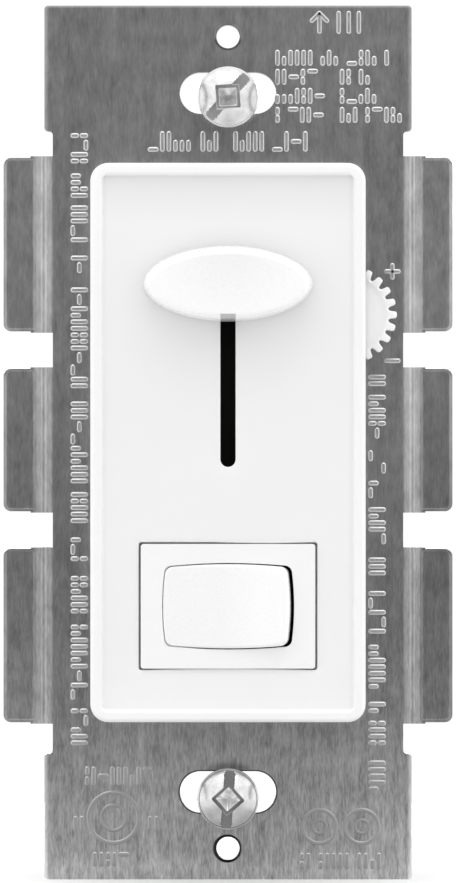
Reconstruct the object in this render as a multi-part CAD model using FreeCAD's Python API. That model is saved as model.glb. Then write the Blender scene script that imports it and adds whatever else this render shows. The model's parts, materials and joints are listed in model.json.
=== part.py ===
import FreeCAD, Part
import os

# Slide dimmer with a rocker switch and a trim wheel, for a wall box.
# Millimetres. +X right, +Z up, the face looks along -Y and the wall is on the +Y side.
# The origin is on the strap's rear face, midway between the two box screw slots.

# ---------------------------------------------------------------- strap
STRAP_LENGTH = 104.2
STRAP_THICKNESS = 1.6
EAR_WIDTH = 43.8
EAR_DEPTH = 15.0
WAIST_WIDTH = 41.8
EAR_CORNER = 0.45
WINDOW_CORNER = 1.0

FIN_SPAN = 53.6
FIN_SHIFT_Z = 0.3
OUTER_FIN_START = 12.95
OUTER_FIN_END = 33.7
MIDDLE_FIN_HALF = 8.52
FIN_CORNER = 0.9
FIN_EDGE_ROUND = 0.45
SCORE_WIDTH = 2.15
SCORE_SINK = 0.2
SCORE_GROOVE_WIDTH = 0.72
SCORE_GROOVE_DEPTH = 0.16
SCORE_OVERRUN = 0.15

BOX_SCREW_SPACING = 83.34
BOX_SLOT_LENGTH = 11.5
BOX_SLOT_HEIGHT = 4.95
PLATE_SCREW_SPACING = 96.84
PLATE_SCREW_RADIUS = 1.38
PLATE_SCREW_SINK = 0.3

# ---------------------------------------------------------------- face
FRAME_WIDTH = 32.7
FRAME_HEIGHT = 66.3
FRAME_PROUD = 5.5
FRAME_CORNER = 2.2
FRAME_WALL = 1.6
FRAME_RIM_WIDTH = 1.5
FRAME_RIM_HEIGHT = 0.6
FRAME_PANEL_THICKNESS = 1.9
FRAME_EDGE_ROUND = 0.4
FRAME_BOSS_RADIUS = 1.8
FRAME_BOSS_END = 1.4
FRAME_PILOT_DEPTH = 0.6

# ---------------------------------------------------------------- slider
SLIDER_TRAVEL = 20.0
SLIDER_REST_Z = 18.8
SLOT_WIDTH = 1.8
SLOT_END_CLEARANCE = 0.1
STEM_HALF_WIDTH = 0.7
STEM_HALF_HEIGHT = 1.6
STEM_SOCKET_DEPTH = 2.6

KNOB_LENGTH = 20.0
KNOB_WIDTH = 9.0
KNOB_GAP = 0.3
KNOB_HEIGHT = 4.4
KNOB_DRAFT = 0.85
KNOB_EDGE_ROUND = 0.5

LINER_HALF_X = 4.2
LINER_THICKNESS = 0.8
LINER_OVERLAP = 2.5
CARRIAGE_HALF_X = 3.2
CARRIAGE_HALF_Z = 2.6
CARRIAGE_GAP = 0.15
CARRIAGE_REAR = -1.4
CARRIAGE_SOCKET_DEPTH = 1.2

POT_HALF_X = 4.5
POT_HALF_Z = 15.5
POT_WINDOW_HALF_X = 5.2
POT_WINDOW_HALF_Z = 16.2
POT_FRONT = -0.7
POT_REAR = 6.4
POT_CAN_WALL = 0.5
POT_CAN_ROUND = 0.4
POT_BASE_FRONT = 5.2
POT_ELEMENT_FRONT = 4.5
POT_ELEMENT_MARGIN = 0.3
POT_PIN_PLACES = [(-2.5, 13.0), (2.5, 13.0), (0.0, -13.0)]
LEVER_HALF_X = 0.9
LEVER_HALF_Z = 1.1
LEVER_REAR = 3.0
LEVER_SIDE_GAP = 0.3
LEVER_END_GAP = 0.4
SHOE_HALF_X = 3.2
SHOE_HALF_Z = 2.4
SHOE_FRONT = 1.2
SHOE_REAR = 4.0
FINGER_X = 1.8
FINGER_HALF_X = 0.4
FINGER_HALF_Z = 1.6
FINGER_GAP = 0.05

# ---------------------------------------------------------------- rocker switch
ROCKER_Z = -19.38
ROCKER_CUTOUT_WIDTH = 21.15
ROCKER_CUTOUT_HEIGHT = 15.15
ROCKER_CUTOUT_CORNER = 0.3
ROCKER_PIVOT_Y = -4.8
ROCKER_TILT = 5.5

BEZEL_WIDTH = 20.65
BEZEL_HEIGHT = 14.75
BEZEL_PROUD = 0.05
BEZEL_LIP = 0.8
BEZEL_CORNER = 0.35
FLANGE_OVERLAP = 2.6
FLANGE_THICKNESS = 0.9
FLANGE_CORNER = 0.6
SKIRT_REAR = -0.9
SKIRT_INNER_X = 8.4
SKIRT_INNER_Z = 5.4

PADDLE_WIDTH = 15.06
PADDLE_HEIGHT = 10.0
PADDLE_SIDE_BULGE = 0.35
PADDLE_END_BULGE = 0.37
PADDLE_CORNER = 0.9
PADDLE_EDGE_ROUND = 0.5
PADDLE_OPENING_GAP_X = 0.3
PADDLE_OPENING_GAP_Z = 0.12
PADDLE_FRONT = -7.3
PADDLE_REAR = -4.0
PADDLE_WALL = 1.2
PADDLE_HOLLOW_MARGIN_X = 0.3
PADDLE_HOLLOW_MARGIN_Z = 0.5
PADDLE_WEB_HALF = 0.6
TRUNNION_RADIUS = 0.8
TRUNNION_REACH = 6.1
TRUNNION_GAP = 0.05

PLUNGER_BOSS_RADIUS = 1.95
PLUNGER_BOSS_REAR = -1.0
PLUNGER_RADIUS = 1.3
PLUNGER_TIP = 2.32
PLUNGER_BORE_FRONT = -5.6
PLUNGER_SHOULDER = -2.6
SPRING_RADIUS = 0.95
SPRING_WIRE = 0.16
SPRING_TURNS = 5

SWITCH_HALF_X = 9.2
SWITCH_HALF_Z = 6.35
SWITCH_CORNER = 0.4
SWITCH_WALL = 1.0
SWITCH_FLOOR = 6.3
SWITCH_WINDOW_HALF_X = 9.6
SWITCH_WINDOW_HALF_Z = 6.75
BLADE_TILT = 7.0
BLADE_FRONT = 2.4
BLADE_THICKNESS = 0.5
BLADE_LENGTH = 14.0
BLADE_WIDTH = 4.4
BLADE_CORNER = 1.2
CONTACT_X = 5.6
CONTACT_RADIUS = 1.2
CONTACT_HEIGHT = 0.6
FIXED_CONTACT_FRONT = 4.37
SWITCH_PIN_HALF_X = 0.4
SWITCH_PIN_HALF_Z = 1.0
TERMINAL_FOOT_HALF = 2.0
RIDGE_HALF = 0.25
RIDGE_GAP = 0.08
RIDGE_FOOT_HALF_X = 1.6
RIDGE_FOOT_THICKNESS = 0.6

# ---------------------------------------------------------------- trim wheel
TRIM_X = 14.2
TRIM_Z = 15.2
TRIM_TIP_RADIUS = 5.9
TRIM_ROOT_RADIUS = 4.95
TRIM_TEETH = 23
TRIM_TOOTH_WIDTH = 0.98
TRIM_THICKNESS = 1.4
TRIM_STRAP_GAP = 0.4
TRIM_WINDOW_GAP = 0.4
TRIM_SHAFT_RADIUS = 1.5
TRIM_SHAFT_FLAT = 1.1
TRIM_SHAFT_GAP = 0.2
TRIM_DISC_RADIUS = 3.2
TRIM_DISC_FRONT = 1.9
TRIM_DISC_REAR = 3.2
TRIM_CHAMBER_RADIUS = 3.4
TRIM_CHAMBER_GAP = 0.1
TRIM_POT_HALF = 4.6
TRIM_POT_FRONT = 0.8
TRIM_POT_REAR = 4.8
TRIM_POT_CORNER = 0.8
TRIM_POT_PIN_PLACES = [(-2.5, -3.0), (0.0, 3.0), (2.5, -3.0)]

# ---------------------------------------------------------------- board and electronics
BOARD_FRONT = 7.5
BOARD_THICKNESS = 1.6
BOARD_HALF_WIDTH = 18.2
BOARD_HALF_HEIGHT = 31.8
BOARD_POST_GAP = 0.3
PIN_PROUD = 1.0
PIN_HALF_Z = 0.25

TRIAC_X = -13.0
TRIAC_HOLE_Z = 20.5
TRIAC_SCREW_RADIUS = 1.45
TRIAC_SCREW_HEAD_RADIUS = 2.7
TRIAC_SCREW_HEAD_HEIGHT = 1.9
TRIAC_SCREW_HEAD_ROUND = 0.6
TRIAC_CROSS_REACH = 1.5
TRIAC_CROSS_WIDTH = 0.5
TRIAC_CROSS_DEPTH = 1.0
TRIAC_HALF_X = 5.0
TRIAC_PAD = 0.2
TRIAC_PAD_MARGIN = 0.4
TRIAC_TAB_THICKNESS = 1.3
TRIAC_TAB_HIGH = 22.8
TRIAC_BODY_INSET = 0.1
TRIAC_BODY_REAR = 4.7
TRIAC_BODY_LOW = 6.0
TRIAC_BODY_HIGH = 15.0
TRIAC_BODY_ROUND = 0.3
TRIAC_LEAD_HALF = 0.35
TRIAC_LEAD_Y = 2.8
TRIAC_LEAD_THICKNESS = 0.5
TRIAC_LEAD_PITCH = 2.54
TRIAC_LEAD_LOW = 3.2

CHOKE_X = 8.0
CHOKE_Z = 3.0
CHOKE_OUTER = 7.0
CHOKE_INNER = 3.8
CHOKE_LIFT = 1.2
CHOKE_DEPTH = 6.0
CHOKE_LOOPS = 22
CHOKE_WIRE = 0.8
CHOKE_WIRE_ROUND = 0.25
CHOKE_CORE_GAP = 0.1
CHOKE_FIRST_ANGLE = 20.0
CHOKE_ARC = 320.0

COMPONENT_LIFT = 0.3
CAPACITOR_ROUND = 0.4
NOISE_CAP_SPAN_X = (-17.0, -4.0)
NOISE_CAP_SPAN_Z = (-12.0, -5.5)
NOISE_CAP_HEIGHT = 12.0
NOISE_CAP_PITCH = 10.0
TIMING_CAP_SPAN_X = (-3.0, 4.5)
TIMING_CAP_SPAN_Z = (-30.6, -27.4)
TIMING_CAP_HEIGHT = 7.5
TIMING_CAP_PITCH = 5.0
RESISTOR_RADIUS = 1.15
RESISTOR_HALF = 3.2
RESISTOR_PLACES = [(-11.0, 1.0), (-11.0, 5.0), (-11.0, 9.0), (-2.0, 16.0)]
DIAC_PLACE = (6.0, -9.5)
DIAC_RADIUS = 0.9
DIAC_HALF = 2.0
FUSE_PLACE = (-2.0, 24.5)
FUSE_RADIUS = 1.6
FUSE_HALF = 4.5
AXIAL_ROUND_SHARE = 0.3
AXIAL_LEAD_RADIUS = 0.3
AXIAL_LEAD_REACH = 1.2
LEAD_PROUD = 0.8

# ---------------------------------------------------------------- rear case
CASE_WIDTH = 40.6
CASE_HEIGHT = 67.5
CASE_DEPTH = 29.5
CASE_WALL = 1.2
CASE_CORNER = 2.0
CASE_EDGE_ROUND = 1.2
CASE_POST_X = 13.2
CASE_POST_Z = 30.4
CASE_POST_RADIUS = 2.6
CASE_SCREW_RADIUS = 1.0
CASE_SCREW_BORE_GAP = 0.15
CASE_SCREW_SINK = 0.4
CASE_SCREW_HEAD_RADIUS = 1.9
CASE_SCREW_HEAD_HEIGHT = 1.3
CASE_SCREW_HEAD_ROUND = 0.4
CASE_SCREW_HEAD_GAP = 0.2
CASE_CROSS_REACH = 1.1
CASE_CROSS_WIDTH = 0.4
CASE_CROSS_DEPTH = 0.8
CASE_RIB_INNER = 17.2
CASE_RIB_HALF = 0.6
CASE_RIB_PLACES = (-12.0, 0.0, 12.0)
BARRIER_REACH = 2.0
BARRIER_OFFSET = 5.0
BARRIER_THICKNESS = 0.9
BARRIER_HALF_Y = 5.5
LABEL_RECESS_WIDTH = 22.0
LABEL_RECESS_HEIGHT = 42.0
LABEL_RECESS_DEPTH = 0.35
LABEL_RECESS_CORNER = 1.5

# ---------------------------------------------------------------- wiring screws
TERMINAL_Y = 13.0
TERMINAL_Z = 22.0
TERMINALS = [(1, TERMINAL_Z), (1, -TERMINAL_Z), (-1, TERMINAL_Z)]
TERMINAL_PLATE_THICKNESS = 0.9
TERMINAL_PLATE_HALF_Y = 4.0
TERMINAL_PLATE_HALF_Z = 4.2
TERMINAL_PLATE_CORNER = 0.6
TERMINAL_TONGUE_HALF_Z = 1.5
TERMINAL_TONGUE_THICKNESS = 0.8
TERMINAL_TONGUE_OVERLAP = 1.6
TERMINAL_SCREW_RADIUS = 1.7
TERMINAL_HEAD_RADIUS = 3.4
TERMINAL_HEAD_HEIGHT = 2.0
TERMINAL_HEAD_ROUND = 0.5
TERMINAL_HEAD_GAP = 1.6
TERMINAL_SLOT_HALF = 0.5
TERMINAL_SLOT_DEPTH = 0.9
TERMINAL_SHANK_END = 17.4
SHANK_HOLE_RADIUS = 2.0
SHANK_HOLE_DEPTH = 2.0

GROUND_X = -15.3
GROUND_Z = -20.7
GROUND_HOLE_RADIUS = 1.45
GROUND_BRACKET_THICKNESS = 0.8
GROUND_BRACKET_HALF = 3.2
GROUND_FOOT_REACH = 3.0
GROUND_LEG_REACH = 4.0
RIVET_SINK = 0.7
RIVET_BORE_RADIUS = 0.9
RIVET_FLANGE_RADIUS = 2.3
RIVET_FLANGE_THICKNESS = 0.5
RIVET_FLANGE_ROUND = 0.2

# ---------------------------------------------------------------- box screws
BOX_SCREW_RADIUS = 1.75
BOX_SCREW_NECK_RADIUS = 1.45
BOX_SCREW_NECK_END = 1.05
BOX_SCREW_HEAD_RADIUS = 3.65
BOX_SCREW_HEAD_HEIGHT = 2.3
BOX_SCREW_HEAD_RIM = 0.7
BOX_SCREW_HEAD_GAP = 2.5
BOX_SCREW_END = 18.0
BOX_SCREW_DROOP = 0.65
BOX_SCREW_SLOT_WIDTH = 1.15
BOX_SCREW_SLOT_DEPTH = 1.0
BOX_SCREW_RECESS_HALF = 2.0
BOX_SCREW_RECESS_DEPTH = 1.7
BOX_SCREW_RECESS_FLOOR = 0.35
UPPER_SLOT_ANGLE = 48.0
LOWER_SLOT_ANGLE = 87.0
RETAINER_RADIUS = 3.2
RETAINER_THICKNESS = 0.8
RETAINER_GAP = 0.1
RETAINER_BORE_GAP = 0.03

# ---------------------------------------------------------------- derived places
FIT = 0.02
EMBED = 0.2

STRAP_FRONT = -STRAP_THICKNESS
FRAME_FRONT = STRAP_FRONT - FRAME_PROUD
PANEL_FRONT = FRAME_FRONT + FRAME_RIM_HEIGHT
PANEL_REAR = PANEL_FRONT + FRAME_PANEL_THICKNESS

KNOB_REAR = PANEL_FRONT - KNOB_GAP
KNOB_FRONT = KNOB_REAR - KNOB_HEIGHT
STEM_FRONT = KNOB_REAR - STEM_SOCKET_DEPTH
SLIDER_LOW_Z = SLIDER_REST_Z - SLIDER_TRAVEL
SLIDER_MID_Z = SLIDER_REST_Z - SLIDER_TRAVEL / 2
SLOT_TOP = SLIDER_REST_Z + STEM_HALF_HEIGHT + SLOT_END_CLEARANCE
SLOT_BOTTOM = SLIDER_LOW_Z - STEM_HALF_HEIGHT - SLOT_END_CLEARANCE
CARRIAGE_FRONT = PANEL_REAR + LINER_THICKNESS + CARRIAGE_GAP

BEZEL_FRONT = PANEL_FRONT - BEZEL_PROUD
BLADE_REAR = BLADE_FRONT + BLADE_THICKNESS
SWITCH_REAR = BOARD_FRONT

TRIM_REAR = STRAP_FRONT - TRIM_STRAP_GAP
TRIM_FRONT = TRIM_REAR - TRIM_THICKNESS

BOARD_REAR = BOARD_FRONT + BOARD_THICKNESS
PIN_END = BOARD_REAR + PIN_PROUD
COMPONENT_REST = BOARD_REAR + COMPONENT_LIFT
NOISE_CAP_REAR = COMPONENT_REST + NOISE_CAP_HEIGHT
TIMING_CAP_REAR = COMPONENT_REST + TIMING_CAP_HEIGHT
TRIAC_SEAT = TRIAC_PAD + TRIAC_TAB_THICKNESS
CHOKE_FRONT = BOARD_REAR + CHOKE_LIFT
CHOKE_REAR = CHOKE_FRONT + CHOKE_DEPTH

CASE_HALF_WIDTH = CASE_WIDTH / 2
CASE_INNER_X = CASE_HALF_WIDTH - CASE_WALL
CASE_INNER_Z = CASE_HEIGHT / 2 - CASE_WALL
CASE_INNER_REAR = CASE_DEPTH - CASE_WALL
CASE_POSTS = [(x, z) for x in (-CASE_POST_X, CASE_POST_X) for z in (-CASE_POST_Z, CASE_POST_Z)]
UPPER_SCREW_Z = BOX_SCREW_SPACING / 2 - BOX_SCREW_DROOP
LOWER_SCREW_Z = -BOX_SCREW_SPACING / 2 - BOX_SCREW_DROOP


# ---------------------------------------------------------------- helpers
def vec(x, y, z):
    return FreeCAD.Vector(x, y, z)


X_AXIS = vec(1, 0, 0)
Y_AXIS = vec(0, 1, 0)
Z_AXIS = vec(0, 0, 1)


def box(x0, x1, y0, y1, z0, z1):
    return Part.makeBox(x1 - x0, y1 - y0, z1 - z0, vec(x0, y0, z0))


def centred_box(half_x, half_z, y0, y1, x=0.0, z=0.0):
    return box(x - half_x, x + half_x, y0, y1, z - half_z, z + half_z)


def rod_x(radius, x0, x1, y, z):
    return Part.makeCylinder(radius, x1 - x0, vec(x0, y, z), X_AXIS)


def rod_y(radius, x, z, y0, y1):
    return Part.makeCylinder(radius, y1 - y0, vec(x, y0, z), Y_AXIS)


def rod_z(radius, x, y, z0, z1):
    return Part.makeCylinder(radius, z1 - z0, vec(x, y, z0), Z_AXIS)


def fuse(shapes):
    whole = shapes[0].multiFuse(shapes[1:]) if len(shapes) > 1 else shapes[0]
    return whole.removeSplitter()


def group(shapes):
    return Part.makeCompound(shapes)


def round_edges(shape, radius, wanted):
    edges = [edge for edge in shape.Edges if wanted(edge)]
    return shape.makeFillet(radius, edges)


def along_y(edge):
    ends = edge.Vertexes
    if len(ends) != 2:
        return False
    step = ends[1].Point - ends[0].Point
    return abs(step.x) < 1e-6 and abs(step.z) < 1e-6


def in_plane_y(edge, y):
    bounds = edge.BoundBox
    return abs(bounds.YMin - y) < 1e-4 and abs(bounds.YMax - y) < 1e-4


def round_face_y(shape, radius, y):
    """Round every edge that lies in the plane y."""
    return round_edges(shape, radius, lambda edge: in_plane_y(edge, y))


def rounded_block(width, height, y0, y1, corner, x=0.0, z=0.0):
    block = centred_box(width / 2, height / 2, y0, y1, x, z)
    return round_edges(block, corner, along_y)


def obround_x(length, height, x, z, y0, y1):
    reach = (length - height) / 2
    middle = centred_box(reach, height / 2, y0, y1, x, z)
    ends = [rod_y(height / 2, x + side * reach, z, y0, y1) for side in (-1, 1)]
    return fuse([middle] + ends)


def obround_z(width, x, y0, y1, z0, z1):
    radius = width / 2
    middle = box(x - radius, x + radius, y0, y1, z0 + radius, z1 - radius)
    ends = [rod_y(radius, x, z, y0, y1) for z in (z0 + radius, z1 - radius)]
    return fuse([middle] + ends)


def ellipse_block(half_x, half_z, inset, y0, y1, z):
    """Tapered block with an elliptical outline that is smaller by the inset at y0."""
    wires = []
    for y, a, b in ((y1, half_x, half_z), (y0, half_x - inset, half_z - inset)):
        ellipse = Part.Ellipse(vec(a, y, z), vec(0, y, z + b), vec(0, y, z))
        wires.append(Part.Wire([ellipse.toShape()]))
    return Part.makeLoft(wires, True)


def barrel_block(half_x, half_z, y0, y1):
    """Rocker outline whose four sides bow outwards, with rounded corners."""
    z = ROCKER_Z
    cx = half_x - PADDLE_SIDE_BULGE
    cz = half_z - PADDLE_END_BULGE
    arcs = [
        Part.Arc(vec(-cx, y0, z + cz), vec(0, y0, z + half_z), vec(cx, y0, z + cz)),
        Part.Arc(vec(cx, y0, z + cz), vec(half_x, y0, z), vec(cx, y0, z - cz)),
        Part.Arc(vec(cx, y0, z - cz), vec(0, y0, z - half_z), vec(-cx, y0, z - cz)),
        Part.Arc(vec(-cx, y0, z - cz), vec(-half_x, y0, z), vec(-cx, y0, z + cz)),
    ]
    face = Part.Face(Part.Wire([arc.toShape() for arc in arcs]))
    block = face.extrude(vec(0, y1 - y0, 0))
    return round_edges(block, PADDLE_CORNER, along_y)


def turned(shape, x, y, z, degrees, axis):
    result = shape.copy()
    result.rotate(vec(x, y, z), axis, degrees)
    return result


def side_piece(shape, side):
    """A piece made for the right side, mirrored if it belongs on the left."""
    return shape if side > 0 else shape.mirror(vec(0, 0, 0), X_AXIS)


def cross_cut(shape, x, y, z, reach, width, depth):
    """Cut a cross recess into a head that looks towards +Y."""
    for half_x, half_z in ((reach, width / 2), (width / 2, reach)):
        shape = shape.cut(centred_box(half_x, half_z, y - depth, y + 1, x, z))
    return shape


# ---------------------------------------------------------------- strap
def score_strip(side, z0, z1):
    """Coined strip that joins a fin to the strap, with a break groove on both faces."""
    inner = WAIST_WIDTH / 2
    outer = inner + SCORE_WIDTH
    middle = (inner + outer) / 2
    front = STRAP_FRONT + SCORE_SINK
    rear = -SCORE_SINK
    overlap = 0.5
    strip = box(inner - overlap, outer + overlap, front, rear, z0 - SCORE_OVERRUN, z1 + SCORE_OVERRUN)
    half = SCORE_GROOVE_WIDTH / 2
    for face, into in ((front, 1), (rear, -1)):
        corners = [
            vec(middle - half, face, z0 - 1),
            vec(middle + half, face, z0 - 1),
            vec(middle, face + into * SCORE_GROOVE_DEPTH, z0 - 1),
            vec(middle - half, face, z0 - 1),
        ]
        groove = Part.Face(Part.makePolygon(corners)).extrude(vec(0, 0, z1 - z0 + 2))
        strip = strip.cut(groove)
    return side_piece(strip, side)


def fin(side, z0, z1):
    """Break-off fin with rounded outer corners and a soft front edge."""
    inner = WAIST_WIDTH / 2 + SCORE_WIDTH
    outer = FIN_SPAN / 2
    plate = box(inner, outer, STRAP_FRONT, 0, z0, z1)
    plate = round_edges(plate, FIN_CORNER, lambda edge: along_y(edge) and edge.BoundBox.XMin > outer - 0.01)

    def outer_front(edge):
        return in_plane_y(edge, STRAP_FRONT) and edge.BoundBox.XMax > inner + 0.01

    plate = round_edges(plate, FIN_EDGE_ROUND, outer_front)
    return side_piece(plate, side)


def strap_openings():
    """Everything that is cut through the strap."""
    y0 = STRAP_FRONT - 1
    y1 = 1
    cuts = []
    for sign in (-1, 1):
        cuts.append(obround_x(BOX_SLOT_LENGTH, BOX_SLOT_HEIGHT, 0, sign * BOX_SCREW_SPACING / 2, y0, y1))
        z = sign * PLATE_SCREW_SPACING / 2
        cuts.append(rod_y(PLATE_SCREW_RADIUS, 0, z, y0, y1))
        wide = PLATE_SCREW_RADIUS + PLATE_SCREW_SINK
        cuts.append(Part.makeCone(wide, PLATE_SCREW_RADIUS, PLATE_SCREW_SINK, vec(0, STRAP_FRONT, z), Y_AXIS))
    cuts.append(rounded_block(
        2 * POT_WINDOW_HALF_X, 2 * POT_WINDOW_HALF_Z, y0, y1, WINDOW_CORNER, 0, SLIDER_MID_Z
    ))
    cuts.append(rounded_block(
        2 * SWITCH_WINDOW_HALF_X, 2 * SWITCH_WINDOW_HALF_Z, y0, y1, WINDOW_CORNER, 0, ROCKER_Z
    ))
    cuts.append(rod_y(TRIM_SHAFT_RADIUS + TRIM_SHAFT_GAP, TRIM_X, TRIM_Z, y0, y1))
    cuts.append(rod_y(TRIAC_SCREW_RADIUS + FIT, TRIAC_X, TRIAC_HOLE_Z, y0, y1))
    cuts.append(rod_y(GROUND_HOLE_RADIUS, GROUND_X, GROUND_Z, y0, y1))
    boss_gap = 0.1
    cuts += [rod_y(FRAME_BOSS_RADIUS + boss_gap, x, z, y0, y1) for x, z in CASE_POSTS]
    return cuts


def mounting_strap():
    half_length = STRAP_LENGTH / 2
    overlap = 1.0
    waist_end = half_length - overlap
    plates = [box(-WAIST_WIDTH / 2, WAIST_WIDTH / 2, STRAP_FRONT, 0, -waist_end, waist_end)]
    for sign in (-1, 1):
        ear_z = sign * (half_length - EAR_DEPTH / 2)
        plates.append(centred_box(EAR_WIDTH / 2, EAR_DEPTH / 2, STRAP_FRONT, 0, 0, ear_z))
    plate = round_edges(fuse(plates), EAR_CORNER, along_y)
    fin_rows = [
        (FIN_SHIFT_Z + OUTER_FIN_START, FIN_SHIFT_Z + OUTER_FIN_END),
        (FIN_SHIFT_Z - MIDDLE_FIN_HALF, FIN_SHIFT_Z + MIDDLE_FIN_HALF),
        (FIN_SHIFT_Z - OUTER_FIN_END, FIN_SHIFT_Z - OUTER_FIN_START),
    ]
    fins = [fin(side, z0, z1) for side in (-1, 1) for z0, z1 in fin_rows]
    strips = [score_strip(side, z0, z1) for side in (-1, 1) for z0, z1 in fin_rows]
    strap = fuse([plate] + fins + strips)
    return strap.cut(group(strap_openings())).removeSplitter()


# ---------------------------------------------------------------- face
def face_shell():
    outer = rounded_block(FRAME_WIDTH, FRAME_HEIGHT, FRAME_FRONT, STRAP_FRONT, FRAME_CORNER)
    outer = round_face_y(outer, FRAME_EDGE_ROUND, FRAME_FRONT)
    sunk = rounded_block(
        FRAME_WIDTH - 2 * FRAME_RIM_WIDTH, FRAME_HEIGHT - 2 * FRAME_RIM_WIDTH,
        FRAME_FRONT - 1, PANEL_FRONT, FRAME_CORNER - FRAME_RIM_WIDTH,
    )
    hollow = rounded_block(
        FRAME_WIDTH - 2 * FRAME_WALL, FRAME_HEIGHT - 2 * FRAME_WALL,
        PANEL_REAR, STRAP_FRONT + 1, FRAME_CORNER - FRAME_WALL,
    )
    return outer.cut(sunk).cut(hollow)


def face_frame():
    """Moulded face: raised rim, sunk panel, four screw bosses, slider slot and rocker cut-out."""
    bosses = [rod_y(FRAME_BOSS_RADIUS, x, z, PANEL_REAR - EMBED, FRAME_BOSS_END) for x, z in CASE_POSTS]
    y0 = FRAME_FRONT - 1
    y1 = PANEL_REAR + 1
    pilot_front = PANEL_REAR + FRAME_PILOT_DEPTH
    cuts = [rod_y(CASE_SCREW_RADIUS + FIT, x, z, pilot_front, FRAME_BOSS_END + 1) for x, z in CASE_POSTS]
    cuts.append(obround_z(SLOT_WIDTH, 0, y0, y1, SLOT_BOTTOM, SLOT_TOP))
    cuts.append(rounded_block(
        ROCKER_CUTOUT_WIDTH, ROCKER_CUTOUT_HEIGHT, y0, y1, ROCKER_CUTOUT_CORNER, 0, ROCKER_Z
    ))
    wheel_reach = TRIM_TIP_RADIUS + TRIM_WINDOW_GAP
    cuts.append(box(
        CASE_POST_X, FRAME_WIDTH, TRIM_FRONT - TRIM_WINDOW_GAP, STRAP_FRONT + 1,
        TRIM_Z - wheel_reach, TRIM_Z + wheel_reach,
    ))
    return fuse([face_shell()] + bosses).cut(group(cuts)).removeSplitter()


# ---------------------------------------------------------------- slider
def slider_knob():
    knob = ellipse_block(KNOB_LENGTH / 2, KNOB_WIDTH / 2, KNOB_DRAFT, KNOB_FRONT, KNOB_REAR, SLIDER_REST_Z)
    knob = round_face_y(knob, KNOB_EDGE_ROUND, KNOB_FRONT)
    reach = STEM_HALF_HEIGHT + FIT
    socket = obround_z(
        2 * (STEM_HALF_WIDTH + FIT), 0, STEM_FRONT - FIT, KNOB_REAR + 1,
        SLIDER_REST_Z - reach, SLIDER_REST_Z + reach,
    )
    return knob.cut(socket)


def slider_carriage():
    """Block behind the panel with the stem that comes out through the slot."""
    z = SLIDER_REST_Z
    block = centred_box(CARRIAGE_HALF_X, CARRIAGE_HALF_Z, CARRIAGE_FRONT, CARRIAGE_REAR, 0, z)
    stem = obround_z(
        2 * STEM_HALF_WIDTH, 0, STEM_FRONT, CARRIAGE_FRONT + EMBED,
        z - STEM_HALF_HEIGHT, z + STEM_HALF_HEIGHT,
    )
    socket = centred_box(
        LEVER_HALF_X + FIT, LEVER_HALF_Z + FIT,
        CARRIAGE_REAR - CARRIAGE_SOCKET_DEPTH, CARRIAGE_REAR + 1, 0, z,
    )
    return fuse([block, stem]).cut(socket)


def slot_liner():
    """Dark strip behind the slot that the carriage runs against."""
    y1 = PANEL_REAR + LINER_THICKNESS
    strip = box(
        -LINER_HALF_X, LINER_HALF_X, PANEL_REAR, y1, SLOT_BOTTOM - LINER_OVERLAP, SLOT_TOP + LINER_OVERLAP
    )
    slot = obround_z(SLOT_WIDTH, 0, PANEL_REAR - 1, y1 + 1, SLOT_BOTTOM, SLOT_TOP)
    return strip.cut(slot)


def pot_block(y0, y1, margin):
    return centred_box(POT_HALF_X - margin, POT_HALF_Z - margin, y0, y1, 0, SLIDER_MID_Z)


def pot_can():
    can = round_face_y(pot_block(POT_FRONT, POT_REAR, 0), POT_CAN_ROUND, POT_FRONT)
    inside = pot_block(POT_FRONT + POT_CAN_WALL, POT_REAR + 1, POT_CAN_WALL)
    reach = LEVER_HALF_Z + LEVER_END_GAP
    half = LEVER_HALF_X + LEVER_SIDE_GAP
    slot = box(-half, half, POT_FRONT - 1, POT_FRONT + 1, SLIDER_LOW_Z - reach, SLIDER_REST_Z + reach)
    return can.cut(inside).cut(slot)


def pot_base():
    return pot_block(POT_BASE_FRONT, POT_REAR, POT_CAN_WALL)


def pot_element():
    return pot_block(POT_ELEMENT_FRONT, POT_BASE_FRONT, POT_CAN_WALL + POT_ELEMENT_MARGIN)


def pot_wiper():
    """Lever and shoe that carry the contact along the resistive track."""
    z = SLIDER_REST_Z
    lever_front = CARRIAGE_REAR - CARRIAGE_SOCKET_DEPTH + 0.1
    lever = centred_box(LEVER_HALF_X, LEVER_HALF_Z, lever_front, LEVER_REAR, 0, z)
    shoe = centred_box(SHOE_HALF_X, SHOE_HALF_Z, SHOE_FRONT, SHOE_REAR, 0, z)
    finger_end = POT_ELEMENT_FRONT - FINGER_GAP
    fingers = [
        centred_box(FINGER_HALF_X, FINGER_HALF_Z, SHOE_REAR - EMBED, finger_end, x, z)
        for x in (-FINGER_X, FINGER_X)
    ]
    return fuse([lever, shoe] + fingers)


def pot_pins():
    return group([
        centred_box(0.4, PIN_HALF_Z, POT_REAR, PIN_END, x, SLIDER_MID_Z + dz) for x, dz in POT_PIN_PLACES
    ])


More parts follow.
